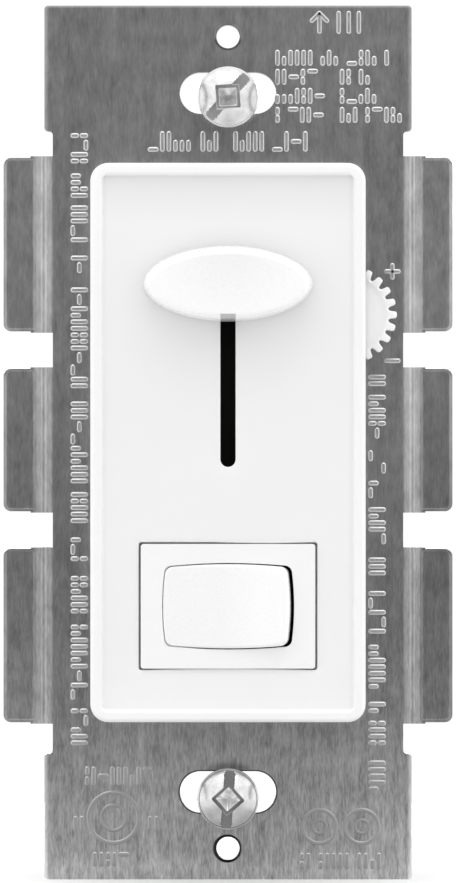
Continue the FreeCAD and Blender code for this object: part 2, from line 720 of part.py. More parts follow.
# ---------------------------------------------------------------- rocker switch
def rocker_bezel():
    """Flat surround of the paddle, its flange behind the panel and the skirt that holds the pivot."""
    z = ROCKER_Z
    plate = rounded_block(BEZEL_WIDTH, BEZEL_HEIGHT, BEZEL_FRONT, PANEL_REAR + 0.05, BEZEL_CORNER, 0, z)
    flange = rounded_block(
        BEZEL_WIDTH + FLANGE_OVERLAP, BEZEL_HEIGHT + FLANGE_OVERLAP,
        PANEL_REAR, PANEL_REAR + FLANGE_THICKNESS, FLANGE_CORNER, 0, z,
    )
    skirt = rounded_block(2 * SWITCH_HALF_X, 2 * SWITCH_HALF_Z, PANEL_REAR, SKIRT_REAR, SWITCH_CORNER, 0, z)
    opening = barrel_block(
        PADDLE_WIDTH / 2 + PADDLE_OPENING_GAP_X, PADDLE_HEIGHT / 2 + PADDLE_OPENING_GAP_Z,
        BEZEL_FRONT - 1, BEZEL_FRONT + BEZEL_LIP + 1,
    )
    inside = centred_box(SKIRT_INNER_X, SKIRT_INNER_Z, BEZEL_FRONT + BEZEL_LIP, SKIRT_REAR + 1, 0, z)
    reach = TRUNNION_REACH + 0.1
    bearing = rod_z(TRUNNION_RADIUS + TRUNNION_GAP, 0, ROCKER_PIVOT_Y, z - reach, z + reach)
    return fuse([plate, flange, skirt]).cut(opening).cut(inside).cut(bearing)


def paddle_neutral():
    """Paddle with neither side pressed."""
    z = ROCKER_Z
    half_x = PADDLE_WIDTH / 2
    half_z = PADDLE_HEIGHT / 2
    block = round_face_y(
        barrel_block(half_x, half_z, PADDLE_FRONT, PADDLE_REAR), PADDLE_EDGE_ROUND, PADDLE_FRONT
    )
    roof = PADDLE_FRONT + PADDLE_WALL
    inside = centred_box(
        half_x - PADDLE_WALL - PADDLE_HOLLOW_MARGIN_X, half_z - PADDLE_WALL - PADDLE_HOLLOW_MARGIN_Z,
        roof, PADDLE_REAR + 1, 0, z,
    )
    boss = rod_y(PLUNGER_BOSS_RADIUS, 0, z, roof - EMBED, PLUNGER_BOSS_REAR)
    web = centred_box(PADDLE_WEB_HALF, half_z - 0.3, roof - EMBED, PADDLE_REAR + 0.6, 0, z)
    trunnion = rod_z(TRUNNION_RADIUS, 0, ROCKER_PIVOT_Y, z - TRUNNION_REACH, z + TRUNNION_REACH)
    bore = rod_y(PLUNGER_RADIUS + FIT, 0, z, PLUNGER_BORE_FRONT, 0)
    return fuse([block.cut(inside), boss, web, trunnion]).cut(bore)


def pressed(shape):
    """Tilt a rocker piece so that the left side is in."""
    return turned(shape, 0, ROCKER_PIVOT_Y, ROCKER_Z, -ROCKER_TILT, Z_AXIS)


def rocker_paddle():
    return pressed(paddle_neutral())


def rocker_plunger():
    z = ROCKER_Z
    tip_centre = PLUNGER_TIP - PLUNGER_RADIUS
    body = rod_y(PLUNGER_RADIUS, 0, z, PLUNGER_SHOULDER, tip_centre)
    return pressed(fuse([body, Part.makeSphere(PLUNGER_RADIUS, vec(0, tip_centre, z))]))


def rocker_spring():
    """Helical spring between the end of the paddle's bore and the plunger."""
    height = PLUNGER_SHOULDER - PLUNGER_BORE_FRONT - 2 * SPRING_WIRE - 2 * FIT
    helix = Part.makeHelix(height / SPRING_TURNS, height, SPRING_RADIUS)
    section = Part.Wire([Part.makeCircle(SPRING_WIRE, vec(SPRING_RADIUS, 0, 0), Y_AXIS)])
    coil = Part.Wire(helix).makePipeShell([section], True, True)
    coil.rotate(vec(0, 0, 0), X_AXIS, -90)
    coil.translate(vec(0, PLUNGER_BORE_FRONT + SPRING_WIRE + FIT, ROCKER_Z))
    return pressed(coil)


def switch_base():
    z = ROCKER_Z
    shell = rounded_block(2 * SWITCH_HALF_X, 2 * SWITCH_HALF_Z, SKIRT_REAR, SWITCH_REAR, SWITCH_CORNER, 0, z)
    inside = centred_box(
        SWITCH_HALF_X - SWITCH_WALL, SWITCH_HALF_Z - SWITCH_WALL, SKIRT_REAR - 1, SWITCH_FLOOR, 0, z
    )
    pins = [
        centred_box(SWITCH_PIN_HALF_X + FIT, SWITCH_PIN_HALF_Z + FIT, SWITCH_FLOOR - 1, SWITCH_REAR + 1, x, z)
        for x in (-CONTACT_X, 0, CONTACT_X)
    ]
    return shell.cut(inside).cut(group(pins))


def see_saw(shape):
    """Tilt a contact piece so that its right side is in."""
    return turned(shape, 0, BLADE_REAR, ROCKER_Z, BLADE_TILT, Z_AXIS)


def contact_lever():
    blade = rounded_block(BLADE_LENGTH, BLADE_WIDTH, BLADE_FRONT, BLADE_REAR, BLADE_CORNER, 0, ROCKER_Z)
    return see_saw(blade)


def contact_buttons(front):
    return group([
        rod_y(CONTACT_RADIUS, x, ROCKER_Z, front, front + CONTACT_HEIGHT) for x in (-CONTACT_X, CONTACT_X)
    ])


def moving_contacts():
    return see_saw(contact_buttons(BLADE_REAR))


def fixed_contacts():
    return contact_buttons(FIXED_CONTACT_FRONT)


def switch_pin(x):
    return centred_box(SWITCH_PIN_HALF_X, SWITCH_PIN_HALF_Z, SWITCH_FLOOR - EMBED, PIN_END, x, ROCKER_Z)


def traveller_terminals():
    half = TERMINAL_FOOT_HALF
    front = FIXED_CONTACT_FRONT + CONTACT_HEIGHT
    feet = [centred_box(half, half, front, SWITCH_FLOOR, x, ROCKER_Z) for x in (-CONTACT_X, CONTACT_X)]
    return group([fuse([foot, switch_pin(foot.BoundBox.Center.x)]) for foot in feet])


def common_terminal():
    """Ridge that the contact lever rocks on, with its foot and pin."""
    half = TERMINAL_FOOT_HALF
    ridge = centred_box(RIDGE_HALF, half, BLADE_REAR + RIDGE_GAP, SWITCH_FLOOR, 0, ROCKER_Z)
    foot = centred_box(
        RIDGE_FOOT_HALF_X, half, SWITCH_FLOOR - RIDGE_FOOT_THICKNESS, SWITCH_FLOOR, 0, ROCKER_Z
    )
    return fuse([ridge, foot, switch_pin(0)])


# ---------------------------------------------------------------- trim wheel
def trim_tooth():
    half = TRIM_TOOTH_WIDTH / 2
    tip_x = TRIM_X + TRIM_TIP_RADIUS - half
    root_x = TRIM_X + TRIM_ROOT_RADIUS - 0.6
    bar = box(root_x, tip_x, TRIM_FRONT, TRIM_REAR, TRIM_Z - half, TRIM_Z + half)
    return [bar, rod_y(half, tip_x, TRIM_Z, TRIM_FRONT, TRIM_REAR)]


def trim_d_section(grow, y0, y1):
    """Round bar along the wheel's axis with one side flattened."""
    reach = TRIM_SHAFT_RADIUS + 1
    key = box(TRIM_X - reach, TRIM_X + TRIM_SHAFT_FLAT + grow, y0, y1, TRIM_Z - reach, TRIM_Z + reach)
    return rod_y(TRIM_SHAFT_RADIUS + grow, TRIM_X, TRIM_Z, y0, y1).common(key)


def trim_wheel():
    disc = rod_y(TRIM_ROOT_RADIUS, TRIM_X, TRIM_Z, TRIM_FRONT, TRIM_REAR)
    teeth = []
    for index in range(TRIM_TEETH):
        angle = 360.0 * index / TRIM_TEETH
        teeth += [turned(piece, TRIM_X, 0, TRIM_Z, angle, Y_AXIS) for piece in trim_tooth()]
    socket = trim_d_section(FIT, TRIM_FRONT + 0.4, TRIM_REAR + 1)
    return fuse([disc] + teeth).cut(socket)


def trim_shaft():
    """D-shaped shaft with the wiper disc that turns inside the trim potentiometer."""
    shaft = trim_d_section(0, TRIM_FRONT + 0.4, TRIM_DISC_FRONT + 0.1)
    disc = rod_y(TRIM_DISC_RADIUS, TRIM_X, TRIM_Z, TRIM_DISC_FRONT, TRIM_DISC_REAR)
    return fuse([shaft, disc])


def trim_pot_body():
    width = 2 * TRIM_POT_HALF
    body = rounded_block(width, width, TRIM_POT_FRONT, TRIM_POT_REAR, TRIM_POT_CORNER, TRIM_X, TRIM_Z)
    throat = rod_y(TRIM_SHAFT_RADIUS + 0.1, TRIM_X, TRIM_Z, 0, TRIM_DISC_FRONT)
    front = TRIM_DISC_FRONT - TRIM_CHAMBER_GAP
    rear = TRIM_DISC_REAR + 2 * TRIM_CHAMBER_GAP
    return body.cut(throat).cut(rod_y(TRIM_CHAMBER_RADIUS, TRIM_X, TRIM_Z, front, rear))


def trim_pot_pins():
    return group([
        centred_box(0.35, PIN_HALF_Z, TRIM_POT_REAR, PIN_END, TRIM_X + dx, TRIM_Z + dz)
        for dx, dz in TRIM_POT_PIN_PLACES
    ])


# ---------------------------------------------------------------- board and electronics
def circuit_board():
    board = centred_box(BOARD_HALF_WIDTH, BOARD_HALF_HEIGHT, BOARD_FRONT, BOARD_REAR)
    radius = CASE_POST_RADIUS + BOARD_POST_GAP
    cuts = [rod_y(radius, x, z, BOARD_FRONT - 1, BOARD_REAR + 1) for x, z in CASE_POSTS]
    pins = [pot_pins(), trim_pot_pins(), triac_leads()]
    pins += [common_terminal(), traveller_terminals(), component_leads()]
    return board.cut(group(cuts)).cut(group(pins))


def triac_bore(y0, y1):
    return rod_y(TRIAC_SCREW_RADIUS + FIT, TRIAC_X, TRIAC_HOLE_Z, y0, y1)


def triac_plate(margin, y0, y1, z0, z1):
    half = TRIAC_HALF_X + margin
    return box(TRIAC_X - half, TRIAC_X + half, y0, y1, z0 - margin, z1 + margin)


def thermal_pad():
    sheet = triac_plate(TRIAC_PAD_MARGIN, 0, TRIAC_PAD, TRIAC_BODY_LOW, TRIAC_TAB_HIGH)
    return sheet.cut(triac_bore(-1, 1))


def triac_tab():
    tab = triac_plate(0, TRIAC_PAD, TRIAC_SEAT, TRIAC_BODY_LOW, TRIAC_TAB_HIGH)
    return tab.cut(triac_bore(-1, TRIAC_SEAT + 1))


def triac_body():
    half = TRIAC_HALF_X - TRIAC_BODY_INSET
    body = box(
        TRIAC_X - half, TRIAC_X + half, TRIAC_SEAT, TRIAC_BODY_REAR, TRIAC_BODY_LOW, TRIAC_BODY_HIGH
    )
    return round_face_y(body, TRIAC_BODY_ROUND, TRIAC_BODY_REAR)


def triac_leads():
    leads = []
    half = TRIAC_LEAD_HALF
    thickness = TRIAC_LEAD_THICKNESS
    for index in (-1, 0, 1):
        x = TRIAC_X + index * TRIAC_LEAD_PITCH
        down = box(x - half, x + half, TRIAC_LEAD_Y, TRIAC_LEAD_Y + thickness, TRIAC_LEAD_LOW, TRIAC_BODY_LOW)
        back = box(x - half, x + half, TRIAC_LEAD_Y, PIN_END, TRIAC_LEAD_LOW, TRIAC_LEAD_LOW + thickness)
        leads.append(fuse([down, back]))
    return group(leads)


def triac_screw():
    """Screw from behind into the strap, with a cross recess in its head."""
    end = TRIAC_SEAT + TRIAC_SCREW_HEAD_HEIGHT
    shank = rod_y(TRIAC_SCREW_RADIUS, TRIAC_X, TRIAC_HOLE_Z, STRAP_FRONT, TRIAC_SEAT + EMBED)
    head = rod_y(TRIAC_SCREW_HEAD_RADIUS, TRIAC_X, TRIAC_HOLE_Z, TRIAC_SEAT, end)
    head = round_face_y(head, TRIAC_SCREW_HEAD_ROUND, end)
    return cross_cut(
        fuse([shank, head]), TRIAC_X, end, TRIAC_HOLE_Z,
        TRIAC_CROSS_REACH, TRIAC_CROSS_WIDTH, TRIAC_CROSS_DEPTH,
    )


def choke_core():
    outer = CHOKE_OUTER - CHOKE_WIRE - CHOKE_CORE_GAP
    inner = CHOKE_INNER + CHOKE_WIRE + CHOKE_CORE_GAP
    ring = rod_y(outer, CHOKE_X, CHOKE_Z, CHOKE_FRONT + CHOKE_WIRE, CHOKE_REAR - CHOKE_WIRE)
    return ring.cut(rod_y(inner, CHOKE_X, CHOKE_Z, CHOKE_FRONT, CHOKE_REAR))


def choke_winding():
    """One closed turn of wire per loop around the ring core."""
    wire = CHOKE_WIRE
    x0 = CHOKE_X + CHOKE_INNER
    x1 = CHOKE_X + CHOKE_OUTER
    loop = box(x0, x1, CHOKE_FRONT, CHOKE_REAR, CHOKE_Z - wire / 2, CHOKE_Z + wire / 2)
    hole = box(x0 + wire, x1 - wire, CHOKE_FRONT + wire, CHOKE_REAR - wire, CHOKE_Z - wire, CHOKE_Z + wire)
    loop = round_edges(loop.cut(hole), CHOKE_WIRE_ROUND, lambda edge: edge.BoundBox.ZLength < 1e-6)
    step = CHOKE_ARC / CHOKE_LOOPS
    angles = [CHOKE_FIRST_ANGLE + index * step for index in range(CHOKE_LOOPS)]
    return group([turned(loop, CHOKE_X, 0, CHOKE_Z, angle, Y_AXIS) for angle in angles])


def capacitor(span_x, span_z, rear):
    return round_face_y(box(*span_x, COMPONENT_REST, rear, *span_z), CAPACITOR_ROUND, rear)


def noise_capacitor():
    return capacitor(NOISE_CAP_SPAN_X, NOISE_CAP_SPAN_Z, NOISE_CAP_REAR)


def timing_capacitor():
    return capacitor(TIMING_CAP_SPAN_X, TIMING_CAP_SPAN_Z, TIMING_CAP_REAR)


def axial_body(x, z, radius, half):
    body = rod_x(radius, x - half, x + half, COMPONENT_REST + radius, z)
    return round_edges(body, radius * AXIAL_ROUND_SHARE, lambda edge: edge.BoundBox.XLength < 1e-6)


def resistors():
    return group([axial_body(x, z, RESISTOR_RADIUS, RESISTOR_HALF) for x, z in RESISTOR_PLACES])


def diac():
    return axial_body(*DIAC_PLACE, DIAC_RADIUS, DIAC_HALF)


def thermal_fuse():
    return axial_body(*FUSE_PLACE, FUSE_RADIUS, FUSE_HALF)


def axial_leads(x, z, radius, half):
    """The two leads of a component that lies along X, each bent back through the board."""
    leads = []
    y = COMPONENT_REST + radius
    for side in (-1, 1):
        bend = x + side * (half + AXIAL_LEAD_REACH)
        x0, x1 = sorted((x + side * half, bend))
        out = rod_x(AXIAL_LEAD_RADIUS, x0, x1, y, z)
        corner = Part.makeSphere(AXIAL_LEAD_RADIUS, vec(bend, y, z))
        down = rod_y(AXIAL_LEAD_RADIUS, bend, z, BOARD_FRONT - LEAD_PROUD, y)
        leads.append(fuse([out, corner, down]))
    return leads


def capacitor_leads(span_x, span_z, pitch):
    x = sum(span_x) / 2
    z = sum(span_z) / 2
    front = BOARD_FRONT - LEAD_PROUD
    return [
        rod_y(AXIAL_LEAD_RADIUS, x + side * pitch / 2, z, front, COMPONENT_REST) for side in (-1, 1)
    ]


def component_leads():
    leads = capacitor_leads(NOISE_CAP_SPAN_X, NOISE_CAP_SPAN_Z, NOISE_CAP_PITCH)
    leads += capacitor_leads(TIMING_CAP_SPAN_X, TIMING_CAP_SPAN_Z, TIMING_CAP_PITCH)
    for x, z in RESISTOR_PLACES:
        leads += axial_leads(x, z, RESISTOR_RADIUS, RESISTOR_HALF)
    leads += axial_leads(*DIAC_PLACE, DIAC_RADIUS, DIAC_HALF)
    leads += axial_leads(*FUSE_PLACE, FUSE_RADIUS, FUSE_HALF)
    return group(leads)


# ---------------------------------------------------------------- wiring screws
def terminal_plate(side, z):
    """Plate under a binding screw with the tongue that reaches in to the board."""
    x0 = CASE_HALF_WIDTH
    x1 = x0 + TERMINAL_PLATE_THICKNESS
    y = TERMINAL_Y
    plate = box(
        x0, x1, y - TERMINAL_PLATE_HALF_Y, y + TERMINAL_PLATE_HALF_Y,
        z - TERMINAL_PLATE_HALF_Z, z + TERMINAL_PLATE_HALF_Z,
    )

    def across(edge):
        return edge.BoundBox.XLength > 0.5 and edge.BoundBox.YLength < 1e-6

    plate = round_edges(plate, TERMINAL_PLATE_CORNER, across)
    bore = rod_x(TERMINAL_SCREW_RADIUS + FIT, x0 - 1, x1 + 1, y, z)
    half = TERMINAL_TONGUE_HALF_Z
    tongue = box(
        BOARD_HALF_WIDTH - TERMINAL_TONGUE_OVERLAP, x0 + 0.1,
        BOARD_REAR, BOARD_REAR + TERMINAL_TONGUE_THICKNESS, z - half, z + half,
    )
    return side_piece(fuse([plate.cut(bore), tongue]), side)


def terminal_plates():
    return group([terminal_plate(side, z) for side, z in TERMINALS])


def side_screw(side, z, seat):
    """Binding screw whose axis is along X, with a slot across its head."""
    y = TERMINAL_Y
    x1 = seat + TERMINAL_HEAD_GAP
    x2 = x1 + TERMINAL_HEAD_HEIGHT
    shank = rod_x(TERMINAL_SCREW_RADIUS, TERMINAL_SHANK_END, x1 + EMBED, y, z)
    head = rod_x(TERMINAL_HEAD_RADIUS, x1, x2, y, z)

    def outer_rim(edge):
        return abs(edge.BoundBox.XMin - x2) < 1e-4 and edge.BoundBox.XLength < 1e-4

    head = round_edges(head, TERMINAL_HEAD_ROUND, outer_rim)
    reach = TERMINAL_HEAD_RADIUS + 1
    half = TERMINAL_SLOT_HALF
    slot = box(x2 - TERMINAL_SLOT_DEPTH, x2 + 1, y - reach, y + reach, z - half, z + half)
    return side_piece(fuse([shank, head]).cut(slot), side)


def traveller_screws():
    seat = CASE_HALF_WIDTH + TERMINAL_PLATE_THICKNESS
    return group([side_screw(1, z, seat) for z in (TERMINAL_Z, -TERMINAL_Z)])


def common_screw():
    return side_screw(-1, TERMINAL_Z, CASE_HALF_WIDTH + TERMINAL_PLATE_THICKNESS)


def ground_screw():
    return side_screw(-1, GROUND_Z, CASE_HALF_WIDTH + GROUND_BRACKET_THICKNESS)


def ground_bracket():
    """Strip riveted behind the strap and bent back along the case's left side."""
    t = GROUND_BRACKET_THICKNESS
    half = GROUND_BRACKET_HALF
    x0 = CASE_HALF_WIDTH
    foot = box(-(x0 + t), GROUND_X + GROUND_FOOT_REACH, 0, t, GROUND_Z - half, GROUND_Z + half)
    leg = box(-(x0 + t), -x0, 0, TERMINAL_Y + GROUND_LEG_REACH, GROUND_Z - half, GROUND_Z + half)
    rivet_hole = rod_y(GROUND_HOLE_RADIUS, GROUND_X, GROUND_Z, -1, t + 1)
    screw_hole = rod_x(TERMINAL_SCREW_RADIUS + FIT, -x0 - t - 1, -x0 + 1, TERMINAL_Y, GROUND_Z)
    return fuse([foot, leg]).cut(rivet_hole).cut(screw_hole)


def ground_rivet():
    """Hollow rivet; its rolled end sits below the strap's front face."""
    seat = GROUND_BRACKET_THICKNESS
    end = seat + RIVET_FLANGE_THICKNESS
    barrel = rod_y(GROUND_HOLE_RADIUS - FIT, GROUND_X, GROUND_Z, STRAP_FRONT + RIVET_SINK, seat)
    flange = rod_y(RIVET_FLANGE_RADIUS, GROUND_X, GROUND_Z, seat, end)
    flange = round_face_y(flange, RIVET_FLANGE_ROUND, end)
    return fuse([barrel, flange]).cut(rod_y(RIVET_BORE_RADIUS, GROUND_X, GROUND_Z, STRAP_FRONT, end + 1))


# ---------------------------------------------------------------- rear case
def case_shell():
    shell = rounded_block(CASE_WIDTH, CASE_HEIGHT, 0, CASE_DEPTH, CASE_CORNER)
    shell = round_face_y(shell, CASE_EDGE_ROUND, CASE_DEPTH)
    inside = rounded_block(2 * CASE_INNER_X, 2 * CASE_INNER_Z, -1, CASE_INNER_REAR, CASE_CORNER - CASE_WALL)
    return shell.cut(inside)


def case_barriers():
    """Ribs above and below each binding screw."""
    barriers = []
    for side, z in TERMINALS:
        for offset in (-BARRIER_OFFSET, BARRIER_OFFSET):
            z0 = z + offset - BARRIER_THICKNESS / 2
            barrier = box(
                CASE_HALF_WIDTH - 0.3, CASE_HALF_WIDTH + BARRIER_REACH,
                TERMINAL_Y - BARRIER_HALF_Y, TERMINAL_Y + BARRIER_HALF_Y, z0, z0 + BARRIER_THICKNESS,
            )
            barriers.append(side_piece(barrier, side))
    return barriers


def case_openings():
    cuts = [rod_y(CASE_SCREW_RADIUS + CASE_SCREW_BORE_GAP, x, z, 0, CASE_DEPTH) for x, z in CASE_POSTS]
    seat = CASE_DEPTH - CASE_SCREW_HEAD_HEIGHT - CASE_SCREW_SINK
    head_radius = CASE_SCREW_HEAD_RADIUS + CASE_SCREW_HEAD_GAP
    cuts += [rod_y(head_radius, x, z, seat, CASE_DEPTH + 1) for x, z in CASE_POSTS]
    cuts.append(rounded_block(
        LABEL_RECESS_WIDTH, LABEL_RECESS_HEIGHT, CASE_DEPTH - LABEL_RECESS_DEPTH, CASE_DEPTH + 1,
        LABEL_RECESS_CORNER,
    ))
    x0 = CASE_HALF_WIDTH - SHANK_HOLE_DEPTH
    x1 = CASE_HALF_WIDTH + 1
    for side, z in TERMINALS + [(-1, GROUND_Z)]:
        cuts.append(side_piece(rod_x(SHANK_HOLE_RADIUS, x0, x1, TERMINAL_Y, z), side))
    half = TERMINAL_TONGUE_HALF_Z + FIT
    rear = BOARD_REAR + TERMINAL_TONGUE_THICKNESS + FIT
    for side, z in TERMINALS:
        cuts.append(side_piece(box(x0, x1, BOARD_REAR - FIT, rear, z - half, z + half), side))
    half = GROUND_BRACKET_HALF + FIT
    rear = GROUND_BRACKET_THICKNESS + FIT
    cuts.append(side_piece(box(x0, x1, -1, rear, GROUND_Z - half, GROUND_Z + half), -1))
    return cuts


def rear_case():
    """Moulded tub with four screw posts, board ribs, barriers and a shallow recess for a label."""
    room = rounded_block(CASE_WIDTH - 0.4, CASE_HEIGHT - 0.4, 0, CASE_DEPTH - 0.1, CASE_CORNER)
    posts = [rod_y(CASE_POST_RADIUS, x, z, FRAME_BOSS_END, CASE_DEPTH).common(room) for x, z in CASE_POSTS]
    ribs = []
    for side in (-1, 1):
        for z in CASE_RIB_PLACES:
            rib = box(
                CASE_RIB_INNER, CASE_INNER_X + EMBED, BOARD_REAR, CASE_INNER_REAR + EMBED,
                z - CASE_RIB_HALF, z + CASE_RIB_HALF,
            )
            ribs.append(side_piece(rib, side))
    case = fuse([case_shell()] + posts + ribs + case_barriers())
    return case.cut(group(case_openings())).removeSplitter()


def case_screws():
    """The four long screws that draw the case and the face together."""
    end = CASE_DEPTH - CASE_SCREW_SINK
    seat = end - CASE_SCREW_HEAD_HEIGHT
    tip = PANEL_REAR + FRAME_PILOT_DEPTH + 0.3
    screws = []
    for x, z in CASE_POSTS:
        shank = rod_y(CASE_SCREW_RADIUS, x, z, tip, seat + EMBED)
        head = round_face_y(rod_y(CASE_SCREW_HEAD_RADIUS, x, z, seat, end), CASE_SCREW_HEAD_ROUND, end)
        screws.append(cross_cut(
            fuse([shank, head]), x, end, z, CASE_CROSS_REACH, CASE_CROSS_WIDTH, CASE_CROSS_DEPTH
        ))
    return group(screws)


# ---------------------------------------------------------------- box screws
def box_screw(z, slot_angle):
    """Domed screw with a straight slot and a four-sided recess; a thinner neck carries the retainer."""
    rear = STRAP_FRONT - BOX_SCREW_HEAD_GAP
    front = rear - BOX_SCREW_HEAD_HEIGHT
    radius = BOX_SCREW_HEAD_RADIUS
    rim = rear - BOX_SCREW_HEAD_RIM
    dome_rise = rim - front
    dome_radius = (radius ** 2 + dome_rise ** 2) / (2 * dome_rise)
    dome = Part.makeSphere(dome_radius, vec(0, front + dome_radius, z))
    head = rod_y(radius, 0, z, front - 1, rear)
    head = head.common(fuse([dome, rod_y(dome_radius, 0, z, rim, rear + 1)]))
    neck = rod_y(BOX_SCREW_NECK_RADIUS, 0, z, rear - EMBED, BOX_SCREW_NECK_END + EMBED)
    shank = rod_y(BOX_SCREW_RADIUS, 0, z, BOX_SCREW_NECK_END, BOX_SCREW_END)

    slot = centred_box(radius + 1, BOX_SCREW_SLOT_WIDTH / 2, front - 1, front + BOX_SCREW_SLOT_DEPTH, 0, z)
    sections = []
    mouth = front - 0.01
    for y, size in (
        (mouth, BOX_SCREW_RECESS_HALF),
        (front + BOX_SCREW_RECESS_DEPTH, BOX_SCREW_RECESS_HALF * BOX_SCREW_RECESS_FLOOR),
    ):
        corners = [vec(size, y, z), vec(0, y, z + size), vec(-size, y, z), vec(0, y, z - size)]
        sections.append(Part.makePolygon(corners + [corners[0]]))
    recess = Part.makeLoft(sections, True, True)
    screw = fuse([neck, shank, head]).cut(slot).cut(recess)
    return turned(screw, 0, 0, z, -slot_angle, Y_AXIS)


def upper_box_screw():
    return box_screw(UPPER_SCREW_Z, UPPER_SLOT_ANGLE)


def lower_box_screw():
    return box_screw(LOWER_SCREW_Z, LOWER_SLOT_ANGLE)


def retainer(z):
    """Fibre washer pressed over a box screw's neck behind the strap."""
    washer = rod_y(RETAINER_RADIUS, 0, z, RETAINER_GAP, RETAINER_GAP + RETAINER_THICKNESS)
    return washer.cut(rod_y(BOX_SCREW_NECK_RADIUS + RETAINER_BORE_GAP, 0, z, -1, RETAINER_THICKNESS + 1))


def upper_retainer():
    return retainer(UPPER_SCREW_Z)


def lower_retainer():
    return retainer(LOWER_SCREW_Z)


# ---------------------------------------------------------------- export
NODES = [
    mounting_strap, face_frame, slot_liner,
    slider_knob, slider_carriage, pot_can, pot_base, pot_element, pot_wiper, pot_pins,
    rocker_bezel, rocker_paddle, rocker_plunger, rocker_spring,
    switch_base, contact_lever, moving_contacts, fixed_contacts, common_terminal, traveller_terminals,
    trim_wheel, trim_shaft, trim_pot_body, trim_pot_pins,
    circuit_board, thermal_pad, triac_tab, triac_body, triac_leads, triac_screw,
    choke_core, choke_winding, noise_capacitor, timing_capacitor,
    resistors, diac, thermal_fuse, component_leads,
    rear_case, case_screws,
    terminal_plates, traveller_screws, common_screw, ground_screw, ground_bracket, ground_rivet,
    upper_box_screw, lower_box_screw, upper_retainer, lower_retainer,
]


def main():
    os.makedirs("parts", exist_ok=True)
    for make in NODES:
        name = make.__name__
        shape = make()
        bad = not shape.isValid() or not shape.Solids
        report = f"{name:22s} solids {len(shape.Solids):3d} volume {shape.Volume:10.3f}"
        print(report + ("  INVALID" if bad else ""))
        shape.exportStep(f"parts/{name}.step")


main()
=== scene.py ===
import json
import math
import random

import bpy
import bmesh
from mathutils import Matrix, Vector, geometry


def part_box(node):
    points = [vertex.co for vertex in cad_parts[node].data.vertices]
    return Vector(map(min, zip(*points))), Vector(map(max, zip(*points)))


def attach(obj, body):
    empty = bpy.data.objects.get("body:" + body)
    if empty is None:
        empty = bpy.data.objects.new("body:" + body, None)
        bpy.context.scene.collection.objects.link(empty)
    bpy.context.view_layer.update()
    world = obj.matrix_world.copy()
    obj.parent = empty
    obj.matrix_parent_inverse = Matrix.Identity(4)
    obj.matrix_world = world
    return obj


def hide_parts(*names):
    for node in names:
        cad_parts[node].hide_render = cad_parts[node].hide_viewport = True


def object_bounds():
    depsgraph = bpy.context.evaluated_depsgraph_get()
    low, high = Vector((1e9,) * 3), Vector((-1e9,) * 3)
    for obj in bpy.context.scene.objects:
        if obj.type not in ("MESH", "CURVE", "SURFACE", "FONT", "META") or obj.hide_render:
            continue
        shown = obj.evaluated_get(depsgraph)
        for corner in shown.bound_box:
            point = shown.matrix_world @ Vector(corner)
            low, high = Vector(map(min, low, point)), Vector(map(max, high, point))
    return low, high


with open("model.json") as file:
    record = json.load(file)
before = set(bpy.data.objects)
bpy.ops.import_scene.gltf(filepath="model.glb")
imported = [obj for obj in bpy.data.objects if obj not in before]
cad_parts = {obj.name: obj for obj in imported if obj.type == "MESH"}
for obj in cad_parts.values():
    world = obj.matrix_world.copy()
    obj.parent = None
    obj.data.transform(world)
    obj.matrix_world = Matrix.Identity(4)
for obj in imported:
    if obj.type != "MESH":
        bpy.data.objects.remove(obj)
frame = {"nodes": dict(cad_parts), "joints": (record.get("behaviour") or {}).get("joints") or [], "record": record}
cad_low, cad_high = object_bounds()

# The frame is in metres: +X right, +Z up, the face looks along -Y.
MM = 0.001

# -------------------- places read from the frame
nodes = frame["nodes"]
joints = {joint["name"]: joint for joint in frame["joints"]}


def node_box(name):
    low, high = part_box(name)
    return low / MM, high / MM


STRAP_LOW, STRAP_HIGH = node_box("mounting_strap")
FACE_LOW, FACE_HIGH = node_box("face_frame")
KNOB_LOW, KNOB_HIGH = node_box("slider_knob")
BEZEL_LOW = node_box("rocker_bezel")[0]
WHEEL_LOW, WHEEL_HIGH = node_box("trim_wheel")
STRAP_FRONT = STRAP_LOW.y
FACE_FRONT = FACE_LOW.y


# -------------------- mesh helpers
class Skin:
    """Collects the points and faces of one mesh."""

    def __init__(self):
        self.vertices = []
        self.faces = []

    def add(self, vertices, faces):
        first = len(self.vertices)
        self.vertices += vertices
        self.faces += [tuple(first + i for i in face) for face in faces]


def mesh_piece(name, vertices, faces, smooth=True):
    """New object from points in millimetres."""
    mesh = bpy.data.meshes.new(name)
    mesh.from_pydata([tuple(c * MM for c in v) for v in vertices], [], faces)
    mesh.validate()
    bm = bmesh.new()
    bm.from_mesh(mesh)
    bmesh.ops.remove_doubles(bm, verts=bm.verts, dist=1e-7)
    bmesh.ops.recalc_face_normals(bm, faces=bm.faces)
    bm.to_mesh(mesh)
    bm.free()
    for polygon in mesh.polygons:
        polygon.use_smooth = smooth
    piece = bpy.data.objects.new(name, mesh)
    bpy.context.scene.collection.objects.link(piece)
    return piece


def bridge(rings, first_cap=None, last_cap=None):
    """Points and faces of a skin through rings that all have the same number of points."""
    count = len(rings[0])
    vertices = [point for ring in rings for point in ring]
    faces = []
    for level in range(len(rings) - 1):
        for i in range(count):
            a = level * count + i
            b = level * count + (i + 1) % count
            faces.append((a, b, b + count, a + count))
    for cap, level in ((first_cap, 0), (last_cap, len(rings) - 1)):
        if cap is not None:
            vertices.append(cap)
            centre = len(vertices) - 1
            for i in range(count):
                a = level * count + i
                b = level * count + (i + 1) % count
                faces.append((a, b, centre))
    return vertices, faces


def on_circle(radius, steps, centre_x=0.0, centre_z=0.0):
    """Points (x, z) round a circle."""
    angles = [2 * math.pi * i / steps for i in range(steps)]
    return [(centre_x + radius * math.cos(a), centre_z + radius * math.sin(a)) for a in angles]


